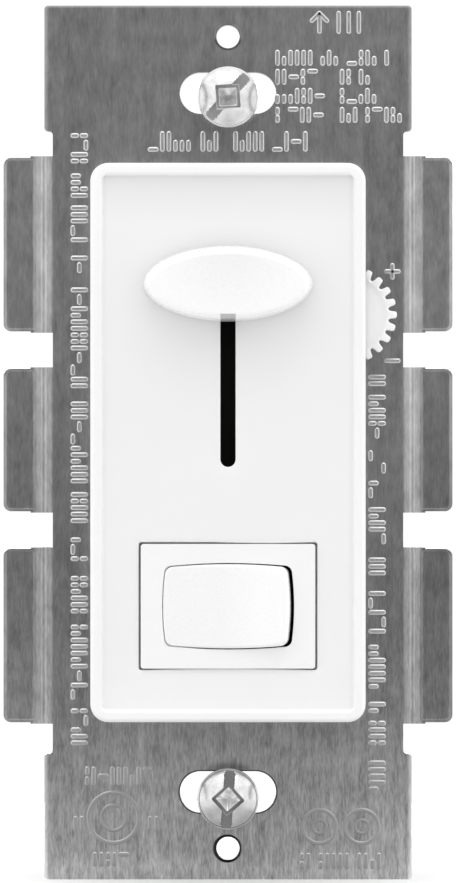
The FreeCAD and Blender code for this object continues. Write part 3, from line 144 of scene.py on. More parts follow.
def subdivided(points, starts, steps):
    """The closed outline, with each side that begins at one of the starts cut into steps."""
    full = []
    for index, (x, z) in enumerate(points):
        full.append((x, z))
        if index in starts:
            next_x, next_z = points[(index + 1) % len(points)]
            for step in range(1, steps):
                share = step / steps
                full.append((x + (next_x - x) * share, z + (next_z - z) * share))
    return full


def rounded_outline(half_x, half_z, radius, centre_z=0.0, steps=8, side_steps=1):
    """Points (x, z) round a rectangle with round corners, each side cut into side_steps."""
    points = []
    corners = [(1, 1, 0), (-1, 1, 90), (-1, -1, 180), (1, -1, 270)]
    for sx, sz, start in corners:
        cx = sx * (half_x - radius)
        cz = centre_z + sz * (half_z - radius)
        for step in range(steps + 1):
            angle = math.radians(start + 90 * step / steps)
            points.append((cx + radius * math.cos(angle), cz + radius * math.sin(angle)))
    return subdivided(points, range(steps, len(points), steps + 1), side_steps)


def at_depth(outline, y):
    return [(x, y, z) for x, z in outline]


def arc_profile(radius, steps):
    """(inset, drop) pairs round a quarter circle, from the side wall to the front face."""
    angles = [math.radians(90 * step / steps) for step in range(steps + 1)]
    return [(radius * (1 - math.cos(a)), radius * (1 - math.sin(a))) for a in angles]


def clamped(share):
    return min(1.0, max(0.0, share))


def apply_modifiers(piece):
    graph = bpy.context.evaluated_depsgraph_get()
    mesh = bpy.data.meshes.new_from_object(piece.evaluated_get(graph))
    piece.modifiers.clear()
    piece.data = mesh


def sharpen(piece, degrees):
    """Smooth shading that breaks at edges sharper than the angle."""
    piece.data.shade_smooth()
    piece.data.set_sharp_from_angle(angle=math.radians(degrees))


# -------------------- material helpers
def feed(tree, value, socket):
    """Set the socket to a number or colour, or link an output to it."""
    if isinstance(value, (int, float, tuple)):
        socket.default_value = value
    else:
        tree.links.new(value, socket)


class Material:
    """A node material under construction."""

    def __init__(self, name):
        self.material = bpy.data.materials.new(name)
        self.material.use_nodes = True
        self.tree = self.material.node_tree
        self.nodes = self.tree.nodes
        self.shader = self.nodes["Principled BSDF"]
        self.coordinates = self.nodes.new("ShaderNodeTexCoord")

    def set(self, **values):
        for key, value in values.items():
            self.shader.inputs[key.replace("_", " ")].default_value = value
        return self

    def drive(self, **outputs):
        """Link outputs to the shader's sockets."""
        for key, output in outputs.items():
            self.join(output, self.shader.inputs[key.replace("_", " ")])

    def join(self, output, target):
        self.tree.links.new(output, target)

    def position(self):
        """The X, Y and Z sockets of the piece's own coordinates, in metres."""
        split = self.nodes.new("ShaderNodeSeparateXYZ")
        self.join(self.coordinates.outputs["Object"], split.inputs["Vector"])
        return split.outputs["X"], split.outputs["Y"], split.outputs["Z"]

    def scaled(self, x, y, z):
        mapping = self.nodes.new("ShaderNodeMapping")
        mapping.inputs["Scale"].default_value = (x, y, z)
        self.join(self.coordinates.outputs["Object"], mapping.inputs["Vector"])
        return mapping.outputs["Vector"]

    def noise(self, vector, scale=1.0, detail=3.0, roughness=0.5):
        noise = self.nodes.new("ShaderNodeTexNoise")
        noise.inputs["Scale"].default_value = scale
        noise.inputs["Detail"].default_value = detail
        noise.inputs["Roughness"].default_value = roughness
        self.join(vector, noise.inputs["Vector"])
        return noise.outputs["Fac"]

    def ramp(self, factor, stops):
        ramp = self.nodes.new("ShaderNodeValToRGB")
        elements = ramp.color_ramp.elements
        elements[0].position, elements[0].color = stops[0][0], grey(stops[0][1])
        elements[1].position, elements[1].color = stops[-1][0], grey(stops[-1][1])
        for position, value in stops[1:-1]:
            elements.new(position).color = grey(value)
        self.join(factor, ramp.inputs["Fac"])
        return ramp.outputs["Color"]

    def math(self, operation, a, b=None, c=None):
        node = self.nodes.new("ShaderNodeMath")
        node.operation = operation
        for socket, value in zip(node.inputs, (a, b, c)):
            if value is not None:
                feed(self.tree, value, socket)
        return node.outputs["Value"]

    def times(self, *values):
        product = values[0]
        for value in values[1:]:
            product = self.math("MULTIPLY", product, value)
        return product

    def share_of(self, value, start, stop):
        """0 where the value is at start, 1 where it is at stop, both in mm."""
        node = self.nodes.new("ShaderNodeMapRange")
        node.inputs["From Min"].default_value = start * MM
        node.inputs["From Max"].default_value = stop * MM
        self.join(value, node.inputs["Value"])
        return node.outputs["Result"]

    def mix(self, factor, a, b, blend="MIX"):
        node = self.nodes.new("ShaderNodeMix")
        node.data_type = "RGBA"
        node.blend_type = blend
        for index, value in ((0, factor), (6, a), (7, b)):
            feed(self.tree, value, node.inputs[index])
        return node.outputs[2]

    def bump(self, height, strength, distance_mm):
        node = self.nodes.new("ShaderNodeBump")
        node.inputs["Strength"].default_value = strength
        node.inputs["Distance"].default_value = distance_mm * MM
        self.join(height, node.inputs["Height"])
        self.drive(Normal=node.outputs["Normal"])


def grey(value):
    if isinstance(value, (int, float)):
        return (value, value, value, 1.0)
    return (*value, 1.0)


def broad_cloud(m):
    return m.noise(m.scaled(90, 90, 90), 1.0, 2.0)


def moulded(name, low, high, roughness, grain_per_mm=6.0, bump=0.04, coat=0.0):
    """Moulded plastic with faint cloudiness and a fine spark-eroded grain."""
    m = Material(name)
    m.drive(Base_Color=m.ramp(broad_cloud(m), [(0.3, low), (0.7, high)]))
    finish_moulding(m, roughness, bump, coat, grain_per_mm)
    return m.material


def finish_moulding(m, roughness, bump, coat, grain_per_mm=6.0):
    fine = m.noise(m.scaled(*[grain_per_mm / MM] * 3), 1.0, 2.0)
    rough = m.ramp(fine, [(0.3, roughness * 0.92), (0.7, roughness * 1.08)])
    m.drive(Roughness=rough)
    m.bump(fine, bump, 0.02)
    m.set(Coat_Weight=coat, Coat_Roughness=0.12)


def face_plastic():
    """Bright rim and a slightly greyer, finely textured sunk panel, with painted shade that darkens the panel
    towards its top.
    """
    m = Material("face_plastic")
    x, y, z = m.position()
    panel_half_x = FACE_HALF_X - RIM_WIDTH
    panel_half_z = FACE_HALF_Z - RIM_WIDTH
    across = m.math("LESS_THAN", m.math("ABSOLUTE", x), (panel_half_x - 0.02) * MM)
    along = m.math("LESS_THAN", m.math("ABSOLUTE", z), (panel_half_z - 0.02) * MM)
    sunk = m.math("GREATER_THAN", y, (FACE_FRONT + RIM_HEIGHT * 0.6) * MM)
    cloud = broad_cloud(m)
    rim_tone = m.ramp(cloud, [(0.3, RIM_TONE - 0.005), (0.7, RIM_TONE + 0.005)])
    panel_tone = m.ramp(cloud, [(0.3, PANEL_TONE - 0.006), (0.7, PANEL_TONE + 0.006)])
    # Painted shade: the panel darkens towards its top edge, under the rim.
    top_shade = m.ramp(m.share_of(z, PANEL_SHADE_START, panel_half_z), [(0.0, 1.0), (1.0, PANEL_SHADE_END_TONE)])
    panel_tone = m.mix(1.0, panel_tone, top_shade, "MULTIPLY")
    m.drive(Base_Color=m.mix(m.times(across, along, sunk), rim_tone, panel_tone))
    finish_moulding(m, 0.36, 0.02, 0.1)
    return m.material


def knob_plastic():
    """Glossy white, with painted light making it brighter towards its ends and a painted shade patch on its lower
    wall, over the slot.
    """
    m = Material("knob_plastic")
    x, _, z = m.position()
    side = m.math("ABSOLUTE", x)
    middle = m.math("LESS_THAN", side, SLOT_HALF_X * MM)
    # Painted shade: a grey patch on the lower wall where the slot runs under the knob.
    low = m.math("LESS_THAN", z, (KNOB_LOW.z + KNOB_SHADE_HEIGHT) * MM)
    # Painted light: brighter towards the knob's ends.
    outward = m.math("DIVIDE", side, KNOB_HIGH.x * MM)
    tone = m.ramp(outward, [(0.15, 0.94), (0.75, 0.98)])
    m.drive(Base_Color=m.mix(m.times(middle, low), tone, grey(KNOB_SHADE_TONE)))
    finish_moulding(m, 0.28, 0.005, 0.25)
    return m.material


def paddle_plastic():
    """Glossy white, with painted light making it a little brighter where the right part rises."""
    m = Material("paddle_plastic")
    across = m.share_of(m.position()[0], -PADDLE_HALF_X, PADDLE_HALF_X)
    # Painted light: brighter towards the paddle's right part.
    m.drive(Base_Color=m.ramp(across, [(0.45, 0.945), (0.75, 0.99)]))
    finish_moulding(m, 0.28, 0.005, 0.25)
    return m.material


def screw_metal(name, centre_z, slot_shade_tone, slot_roughness, recess_light_and_shade):
    """Bright zinc, with painted shade on the driver slot's floor and painted light and shade in the square recess.
    """
    m = Material(name)
    cloud = m.noise(m.scaled(700, 700, 700), 1.0, 4.0, 0.6)
    x, y, z = m.position()
    slot_floor = SCREW_FRONT + SLOT_DEPTH
    # Painted shade on the driver slot's floor.
    slot = m.math("COMPARE", y, (slot_floor + 0.02) * MM, 0.06 * MM)
    # Painted light and shade in the square recess: darker than the plating on the upper screw, brighter on the
    # lower.
    deep = m.math("COMPARE", y, (slot_floor + 0.5) * MM, 0.4 * MM)
    inner = m.math("LESS_THAN", distance_from(m, x, z, 0.0, centre_z, 0.0), RECESS_INNER * MM)
    plated = m.ramp(cloud, [(0.3, 0.56), (0.7, 0.78)])
    painted_recess = m.ramp(cloud, [(0.35, recess_light_and_shade * 0.7), (0.6, recess_light_and_shade)])
    plated = m.mix(m.times(deep, inner), plated, painted_recess)
    m.drive(Base_Color=m.mix(slot, plated, grey(slot_shade_tone)))
    gloss = m.math("MULTIPLY_ADD", cloud, 0.08, 0.16)
    m.drive(Roughness=m.math("MAXIMUM", gloss, m.times(slot, slot_roughness)))
    m.bump(cloud, 0.03, 0.02)
    m.set(Metallic=1.0)
    return m.material


def metal(name, low, high, roughness, grain=(900, 900, 900), bump=0.05, metallic=1.0):
    """Bare or plated metal with tone and gloss that vary along its grain."""
    m = Material(name)
    streak = m.noise(m.scaled(*grain), 1.0, 4.0, 0.6)
    m.drive(Base_Color=m.ramp(streak, [(0.25, low), (0.75, high)]))
    m.drive(Roughness=m.ramp(streak, [(0.25, roughness * 0.8), (0.75, roughness * 1.2)]))
    m.bump(streak, bump, 0.02)
    m.set(Metallic=metallic)
    return m.material


def distance_from(m, x, z, centre_x, centre_z, straight):
    """Distance from a level line of half-length straight about a centre in mm, seen from the front."""
    beside = m.math("ABSOLUTE", m.math("SUBTRACT", x, centre_x * MM))
    beside = m.math("MAXIMUM", m.math("SUBTRACT", beside, straight * MM), 0.0)
    above = m.math("SUBTRACT", z, centre_z * MM)
    return m.math("SQRT", m.math("ADD", m.times(beside, beside), m.times(above, above)))


# -------------------- strap metal
# Places on the strap's face, in mm from its centre.
SCORE_LINE = 21.99
SCORE_MIDDLE = 22.07
SCORE_HALF_WIDTH = 1.2
SCORE_END = 34.3
EAR_HALF_WIDTH = 21.87
# Widths of the painted highlights along the ears' sides and the strap's top edge.
EAR_HIGHLIGHT_WIDTH = 0.5
TOP_HIGHLIGHT_WIDTH = 0.32
FIN_START = 22.9
FIN_EDGE = 26.8
# Width of the painted highlight along the fins' outer edge.
FIN_HIGHLIGHT_WIDTH = 0.85
PLATE_HOLE_X = -0.12
PLATE_HOLE_Z = 48.42
BOX_SLOT_Z = 41.67
BOX_SLOT_STRAIGHT = 3.3
# Reach of the painted shade round the lower ear's hole and slot.
PLATE_HOLE_SHADE_REACH = 1.68
BOX_SLOT_SHADE_REACH = 2.62

# Tones, and how much each pattern adds. A height is 0 at the strap's lower edge and 1 at its upper one.
STRAP_TONE = 0.455
# Painted light and shade by height, standing in for reflections: lighter at the lower edge, darker a fifth of the
# way up.
STRAP_LIGHT_BY_HEIGHT = [
    (0.0, 1.3), (0.012, 1.24), (0.03, 1.0), (0.14, 0.9), (0.2, 0.78), (0.36, 0.84), (0.55, 0.96), (0.62, 1.0),
]
# Painted light and shade on the right fins, by height.
RIGHT_FIN_LIGHT_BY_HEIGHT = [(0.3, 0.84), (0.52, 0.86), (0.7, 1.16)]
GRAIN_BY_HEIGHT = [(0.0, 0.55), (0.15, 0.45), (0.3, 0.3), (0.6, 0.24)]
GRAIN_LIFT = 4.0
BLOTCH_LIFT = 0.4
PATCH_LIFT = 0.75
STRIP_LIFT = 0.155
# Painted highlights and painted shade: the score lines' edges and roots, the fins' outer edges, the ears' sides,
# the top edge and the ring round the lower ear's hole and slot.
SCORE_EDGE_HIGHLIGHT = 0.2
SCORE_ROOT_SHADE = -0.12
FIN_EDGE_HIGHLIGHT = 0.35
EAR_EDGE_HIGHLIGHT = 1.3
TOP_EDGE_HIGHLIGHT = 1.7
HOLE_SHADE_LIFT = -0.8
# Darkest tone of the painted shade on the rolled corners.
EDGE_SHADE_TONE = 0.58
STRAP_ROUGHNESS = 0.33
STRIP_ROUGHER = 0.27


def strap_patterns(m, side, z, strip, between_ears):
    """Blotches, score strips, painted highlights on the score lines and rims, and painted shade at the score
    roots: what each adds to the strap's tone.
    """
    patch = m.noise(m.scaled(620, 620, 330), 1.0, 3.0)
    blotch = m.noise(m.scaled(70, 70, 50), 1.0, 2.0)
    from_score = m.math("ABSOLUTE", m.math("SUBTRACT", side, SCORE_LINE * MM))
    # Painted highlight beside the score line and painted shade at its root.
    score_highlight_band = m.math("COMPARE", from_score, 0.25 * MM, 0.07 * MM)
    score_shade_band = m.math("LESS_THAN", from_score, 0.1 * MM)
    # Painted highlight along the fins' outer edges.
    fin_highlight_band = m.ramp(
        m.share_of(side, FIN_EDGE - FIN_HIGHLIGHT_WIDTH, FIN_EDGE), [(0.1, 0.0), (0.6, 0.42), (0.8, 0.15), (1.0, 0.0)]
    )
    in_ears = m.math("SUBTRACT", 1.0, between_ears)
    # Painted highlights along the ears' side edges and the strap's top edge.
    ear_highlight_band = m.share_of(side, EAR_HALF_WIDTH - EAR_HIGHLIGHT_WIDTH, EAR_HALF_WIDTH)
    top_highlight_band = m.share_of(z, STRAP_HIGH.z - TOP_HIGHLIGHT_WIDTH, STRAP_HIGH.z)
    return (
        (m.math("SUBTRACT", blotch, 0.5), BLOTCH_LIFT),
        (m.math("SUBTRACT", patch, 0.5), PATCH_LIFT),
        (strip, STRIP_LIFT),
        (m.times(score_highlight_band, between_ears), SCORE_EDGE_HIGHLIGHT),
        (m.times(score_shade_band, between_ears), SCORE_ROOT_SHADE),
        (fin_highlight_band, FIN_EDGE_HIGHLIGHT),
        (m.times(ear_highlight_band, in_ears), EAR_EDGE_HIGHLIGHT),
        (top_highlight_band, TOP_EDGE_HIGHLIGHT),
    )


def corner_shading(m, strip):
    """Painted shade on the rounded edges outside the score strips, set by how far each turns from the front, and
    more on those that face upwards.
    """
    surface = m.nodes.new("ShaderNodeNewGeometry")
    normal = m.nodes.new("ShaderNodeSeparateXYZ")
    m.join(surface.outputs["Normal"], normal.inputs["Vector"])
    facing = m.math("ABSOLUTE", normal.outputs["Y"])
    corner = m.ramp(facing, [(0.1, 0.9), (0.4, 0.82), (0.6, 0.7), (0.85, EDGE_SHADE_TONE), (0.97, 0.8), (1.0, 1.0)])
    rolled = m.math("GREATER_THAN", facing, 0.15)
    # Painted shade on upward-facing rounded edges.
    upward = m.times(m.math("MAXIMUM", normal.outputs["Z"], 0.0), rolled)
    shade = m.ramp(upward, [(0.0, 1.0), (0.3, 0.5), (1.0, 0.5)])
    return m.mix(strip, corner, grey(1.0)), shade


def hole_shade(m, x, z):
    """Painted shade: a dark ring round the lower ear's wall-plate hole and box-screw slot."""
    to_hole = distance_from(m, x, z, PLATE_HOLE_X, -PLATE_HOLE_Z, 0.0)
    to_slot = distance_from(m, x, z, 0.0, -BOX_SLOT_Z, BOX_SLOT_STRAIGHT)
    hole = m.math("LESS_THAN", to_hole, PLATE_HOLE_SHADE_REACH * MM)
    slot = m.math("LESS_THAN", to_slot, BOX_SLOT_SHADE_REACH * MM)
    return m.math("MULTIPLY_ADD", m.math("MAXIMUM", hole, slot), HOLE_SHADE_LIFT, 1.0)


def strap_metal():
    """Rolled grey aluminium: vertical grain and coined score strips, with painted highlights on its rims and score
    lines, painted shade on its rolled corners, score roots and round the lower ear's hole and slot, and painted
    light that varies with height.
    """
    m = Material("strap_metal")
    x, _, z = m.position()
    side = m.math("ABSOLUTE", x)
    height = m.share_of(z, STRAP_LOW.z, STRAP_HIGH.z)
    between_ears = m.math("LESS_THAN", m.math("ABSOLUTE", z), SCORE_END * MM)
    from_middle = m.math("ABSOLUTE", m.math("SUBTRACT", side, SCORE_MIDDLE * MM))
    strip = m.times(m.share_of(from_middle, SCORE_HALF_WIDTH + 0.08, SCORE_HALF_WIDTH - 0.3), between_ears)

    fine = m.noise(m.scaled(5200, 5200, 900), 1.0, 2.0, 0.6)
    broad = m.noise(m.scaled(1500, 1500, 90), 1.0, 3.0, 0.6)
    streaks = m.math("ADD", m.times(fine, 0.65), m.times(broad, 0.35))
    grain = m.times(m.math("SUBTRACT", streaks, 0.5), m.ramp(height, GRAIN_BY_HEIGHT))
    tone = m.math("MULTIPLY_ADD", grain, GRAIN_LIFT, 1.0)
    for pattern, lift in strap_patterns(m, side, z, strip, between_ears):
        tone = m.math("ADD", tone, m.times(pattern, lift))

    corner, shade = corner_shading(m, strip)
    # Painted light and shade on the right fins.
    right_fins = m.math("GREATER_THAN", x, FIN_START * MM)
    right_fin_light = m.mix(right_fins, grey(1.0), m.ramp(height, RIGHT_FIN_LIGHT_BY_HEIGHT))
    # Painted light and shade by height.
    light_by_height = m.ramp(height, STRAP_LIGHT_BY_HEIGHT)
    tone = m.times(tone, light_by_height, right_fin_light, corner, shade, hole_shade(m, x, z), STRAP_TONE)
    colour = m.nodes.new("ShaderNodeCombineColor")
    for channel in ("Red", "Green", "Blue"):
        m.join(tone, colour.inputs[channel])
    m.drive(Base_Color=colour.outputs["Color"])

    rough = m.math("MULTIPLY_ADD", streaks, 0.06, STRAP_ROUGHNESS - 0.03)
    rough = m.math("ADD", rough, m.times(strip, STRIP_ROUGHER))
    m.drive(Roughness=rough)
    m.bump(streaks, 0.06, 0.02)
    m.set(Metallic=1.0)
    return m.material


def stamped_metal():
    """Metal of the raised marks: bright on the upper ear, quieter towards the lower one."""
    m = Material("stamped_metal")
    height = m.share_of(m.position()[2], STRAP_LOW.z, STRAP_HIGH.z)
    m.drive(Base_Color=m.ramp(height, [(0.1, 0.42), (0.2, 0.6), (0.7, 0.66)]))
    grain = m.noise(m.scaled(2500, 2500, 900), 1.0, 3.0, 0.6)
    m.drive(Roughness=m.ramp(grain, [(0.3, 0.32), (0.7, 0.42)]))
    m.bump(grain, 0.06, 0.02)
    m.set(Metallic=1.0)
    return m.material


# -------------------- one material for each slot
SLOT_MATERIALS = {
    "white_plastic": moulded("white_plastic", 0.935, 0.95, 0.34, bump=0.02, coat=0.15),
    "strap_metal": strap_metal(),
    "zinc_screw": metal("zinc_plate", 0.72, 0.84, 0.2, grain=(700, 700, 700), bump=0.03),
    "black_plastic": moulded("black_plastic", 0.012, 0.018, 0.6, bump=0.08),
    "case_plastic": moulded("case_plastic", 0.016, 0.022, 0.55, grain_per_mm=4.0, bump=0.25),
    "tinned_metal": metal("tinned_metal", 0.55, 0.65, 0.3),
    "contact_brass": metal("contact_brass", (0.72, 0.52, 0.24), (0.82, 0.62, 0.32), 0.3),
    "screw_brass": metal("screw_brass", (0.66, 0.46, 0.2), (0.78, 0.58, 0.28), 0.28),
    "screw_black": metal("screw_black", 0.02, 0.035, 0.4, metallic=0.8),
    "screw_green": metal("screw_green", (0.03, 0.24, 0.09), (0.05, 0.32, 0.13), 0.32, metallic=0.7),
    "board": moulded("board", (0.03, 0.13, 0.05), (0.05, 0.17, 0.07), 0.4),
    "phenolic": moulded("phenolic", (0.05, 0.043, 0.038), (0.065, 0.055, 0.048), 0.5),
    "ferrite": moulded("ferrite", 0.04, 0.06, 0.7, bump=0.3),
    "copper_wire": metal("copper_wire", (0.5, 0.2, 0.08), (0.62, 0.28, 0.12), 0.3, metallic=0.9),
    "cap_film": moulded("cap_film", (0.62, 0.44, 0.06), (0.68, 0.5, 0.09), 0.35),
    "resistor_body": moulded("resistor_body", (0.5, 0.38, 0.25), (0.56, 0.43, 0.29), 0.45),
    "glass_body": moulded("glass_body", (0.35, 0.12, 0.06), (0.42, 0.16, 0.08), 0.1, coat=0.8),
    "silicone_pad": moulded("silicone_pad", 0.26, 0.32, 0.7),
    "fibre_washer": moulded(
        "fibre_washer", (0.2, 0.14, 0.09), (0.27, 0.2, 0.13), 0.85, grain_per_mm=2.5, bump=0.5
    ),
}
white_button = moulded("white_button_plastic", 0.935, 0.945, 0.28, bump=0.005, coat=0.25)
# A brighter copy of the white plastic: painted light that offsets the shade on the wheel in its recess.
wheel_brightened_white = moulded("wheel_plastic", 0.965, 0.975, 0.34, bump=0.01, coat=0.1)
stamped = stamped_metal()


def dress_cad_nodes():
    """Every CAD node takes the procedural material of its slot."""
    for part in frame["record"]["subparts"]:
        node = nodes[part["node"]]
        node.data.materials.clear()
        node.data.materials.append(SLOT_MATERIALS[part["material_slot"]])


dress_cad_nodes()


def finish_piece(piece, material, body, slot, *replaced):
    piece.data.materials.clear()
    piece.data.materials.append(material)
    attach(piece, body)
    if replaced:
        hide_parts(*replaced)
    return piece


# -------------------- face
FACE_HALF_X = (FACE_HIGH.x - FACE_LOW.x) / 2
FACE_HALF_Z = (FACE_HIGH.z - FACE_LOW.z) / 2
FACE_CORNER = 2.2
FACE_DRAFT = 0.05
FACE_SIDE_STEPS = 20
WALL_INSET = 1.6
RIM_WIDTH = 1.5
RIM_ROUND = 0.55
RIM_INNER_ROUND = 0.3
RIM_HEIGHT = 0.6
RIM_TONE = 0.94
PANEL_FILLET = 0.12
PANEL_DISH = 0.4
PANEL_REAR_Y = -4.6
PANEL_GRID = 1.0
PANEL_GRID_GAP = 0.45
PANEL_TONE = 0.895
# Painted shade on the panel's upper part: where it starts and how dark it ends.
PANEL_SHADE_START = 26.0
PANEL_SHADE_END_TONE = 0.91
SLOT_HALF_X = 0.9
SLOT_TOP_Z = 20.5
SLOT_BOTTOM_Z = -2.9
SLOT_END_STEPS = 12
OPENING_SIDE_STEPS = 24
CUTOUT_HALF_X = 10.575
CUTOUT_HALF_Z = 7.575
CUTOUT_CORNER = 0.3
CUTOUT_BOW = 0.16
BOW_START_X = -2.0
BOW_LENGTH = 7.0
ROCKER_Z = joints["rocker_tilt"]["pos_m"][2] / MM
HOLE_EDGE_ROUND = 0.12


def face_outline(inset):
    corner = max(FACE_CORNER - inset, 0.5)
    return rounded_outline(FACE_HALF_X - inset, FACE_HALF_Z - inset, corner, side_steps=FACE_SIDE_STEPS)


def panel_depth(x, z):
    """Front surface of the sunk panel: deepest on the centre line, level at its edges."""
    u = min(1.0, abs(x) / (FACE_HALF_X - RIM_WIDTH))
    v = min(1.0, abs(z) / (FACE_HALF_Z - RIM_WIDTH))
    bowl = (1 - u ** 4) * (1 - v ** 8)
    return FACE_FRONT + RIM_HEIGHT + PANEL_DISH * bowl


def on_panel(outline, drop=0.0):
    return [(x, panel_depth(x, z) + drop, z) for x, z in outline]


def slot_outline(grow):
    """The slider slot's outline (x, z), round at both ends."""
    radius = SLOT_HALF_X + grow
    points = []
    for centre, start in ((SLOT_TOP_Z - SLOT_HALF_X, 0), (SLOT_BOTTOM_Z + SLOT_HALF_X, 180)):
        for step in range(SLOT_END_STEPS + 1):
            angle = math.radians(start + 180 * step / SLOT_END_STEPS)
            points.append((radius * math.cos(angle), centre + radius * math.sin(angle)))
    return subdivided(points, (SLOT_END_STEPS, 2 * SLOT_END_STEPS + 1), OPENING_SIDE_STEPS)


def cutout_outline(grow):
    """Rocker cut-out (x, z); its long edges bow in a little, the upper one at its right only."""
    outline = rounded_outline(
        CUTOUT_HALF_X + grow, CUTOUT_HALF_Z + grow, CUTOUT_CORNER + grow, ROCKER_Z, 4, OPENING_SIDE_STEPS
    )
    bowed = []
    for x, z in outline:
        bow = CUTOUT_BOW * max(0.0, 1 - (x / CUTOUT_HALF_X) ** 2)
        if z < ROCKER_Z:
            bowed.append((x, z + bow))
        else:
            bowed.append((x, z - bow * clamped((x - BOW_START_X) / BOW_LENGTH)))
    return bowed


def inside_polygon(x, z, outline):
    hit = False
    for i, (x1, z1) in enumerate(outline):
        x2, z2 = outline[i - 1]
        if (z1 > z) != (z2 > z) and x < (x2 - x1) * (z - z1) / (z2 - z1) + x1:
            hit = not hit
    return hit


def near_outline(x, z, outline, gap):
    return any((x - px) ** 2 + (z - pz) ** 2 < gap * gap for px, pz in outline)


def panel_skin(outer, holes):
    """Triangulated panel surface between its outer edge and the holes."""
    points = list(outer)
    edges = [(i, (i + 1) % len(outer)) for i in range(len(outer))]
    for hole in holes:
        first = len(points)
        points += hole
        edges += [(first + i, first + (i + 1) % len(hole)) for i in range(len(hole))]
    loops = [outer] + holes

    def on_skin(x, z):
        return inside_polygon(x, z, outer) and not any(inside_polygon(x, z, hole) for hole in holes)

    half_columns = int(FACE_HALF_X / PANEL_GRID)
    half_rows = int(FACE_HALF_Z / PANEL_GRID)
    for column in range(-half_columns, half_columns + 1):
        for row in range(-half_rows, half_rows + 1):
            x = column * PANEL_GRID
            z = row * PANEL_GRID
            if on_skin(x, z) and not any(near_outline(x, z, loop, PANEL_GRID_GAP) for loop in loops):
                points.append((x, z))
    flat, _, triangles = geometry.delaunay_2d_cdt([Vector(p) for p in points], edges, [], 0, 1e-5)[:3]
    kept = []
    for triangle in triangles:
        x = sum(flat[i].x for i in triangle) / 3
        z = sum(flat[i].y for i in triangle) / 3
        if on_skin(x, z):
            kept.append(tuple(triangle))
    return on_panel([(p.x, p.y) for p in flat]), kept


def make_face():
    """Moulded face: drafted side walls, rounded raised rim, dished panel with its two openings."""
    def ring(inset, y):
        return at_depth(face_outline(inset), y)

    def panel_outline(inset, corner):
        half_x = FACE_HALF_X - RIM_WIDTH - inset
        half_z = FACE_HALF_Z - RIM_WIDTH - inset
        return rounded_outline(half_x, half_z, corner, side_steps=FACE_SIDE_STEPS)

    rings = [ring(WALL_INSET, PANEL_REAR_Y), ring(WALL_INSET, STRAP_FRONT), ring(0, STRAP_FRONT)]
    rings.append(ring(FACE_DRAFT * 0.1, STRAP_FRONT - 0.2))
    for inset, drop in arc_profile(RIM_ROUND, 6):
        rings.append(ring(FACE_DRAFT + inset, FACE_FRONT + drop))
    rings.append(ring(RIM_WIDTH - 0.5, FACE_FRONT + 0.01))
    for inset, drop in reversed(arc_profile(RIM_INNER_ROUND, 4)):
        rings.append(ring(RIM_WIDTH - 0.08 - inset, FACE_FRONT + drop))
    rings.append(at_depth(panel_outline(0.0, 0.2), FACE_FRONT + RIM_HEIGHT - PANEL_FILLET))
    panel_edge = panel_outline(PANEL_FILLET, 0.15)
    rings.append(on_panel(panel_edge))

    skin = Skin()
    skin.add(*bridge(rings))
    skin.add(*panel_skin(panel_edge, [slot_outline(HOLE_EDGE_ROUND), cutout_outline(HOLE_EDGE_ROUND)]))
    for outline in (slot_outline, cutout_outline):
        wall = []
        for grow, drop in ((HOLE_EDGE_ROUND, 0.0), (0.04, 0.04), (0.0, 0.12)):
            wall.append(on_panel(outline(grow), drop))
        wall.append(at_depth(outline(0.0), PANEL_REAR_Y))
        skin.add(*bridge(wall))
    back_points, back_faces = panel_skin(face_outline(WALL_INSET), [slot_outline(0.0), cutout_outline(0.0)])
    skin.add([(x, PANEL_REAR_Y, z) for x, _, z in back_points], back_faces)
    return mesh_piece("face", skin.vertices, skin.faces)


def cut_wheel_window(piece):
    """Open the right wall of the face where the trim wheel comes out."""
    clearance = 0.4
    x0, x1 = FACE_HIGH.x - 2.4, FACE_HIGH.x + 1.0
    y0, y1 = WHEEL_LOW.y - clearance, STRAP_FRONT + 1.0
    z0, z1 = WHEEL_LOW.z - clearance, WHEEL_HIGH.z + clearance
    corners = [(x, y, z) for x in (x0, x1) for y in (y0, y1) for z in (z0, z1)]
    sides = [(0, 1, 3, 2), (4, 6, 7, 5), (0, 4, 5, 1), (2, 3, 7, 6), (0, 2, 6, 4), (1, 5, 7, 3)]
    cutter = mesh_piece("wheel_window_cutter", corners, sides, smooth=False)
    boolean = piece.modifiers.new("wheel_window", "BOOLEAN")
    boolean.operation = "DIFFERENCE"
    boolean.solver = "EXACT"
    boolean.object = cutter
    apply_modifiers(piece)
    bpy.data.objects.remove(cutter)


face = make_face()
cut_wheel_window(face)
sharpen(face, 40)
finish_piece(face, face_plastic(), "chassis", "white_plastic", "face_frame")


# -------------------- slider knob
# Painted shade patch on the knob's lower wall, over the slot: its height and grey.
KNOB_SHADE_HEIGHT = 0.85
KNOB_SHADE_TONE = 0.5
KNOB_SIDES = 128
KNOB_POWER = 1.93
KNOB_FOOT_ROUND = 0.15
KNOB_WALL_STEPS = 4
KNOB_DRAFT = 0.42
KNOB_EDGE_ROUND = 0.62
KNOB_EDGE_STEPS = 8
KNOB_DISH = 0.55
KNOB_FACE_STEPS = 12
KNOB_FACE_SHIFT = -0.2


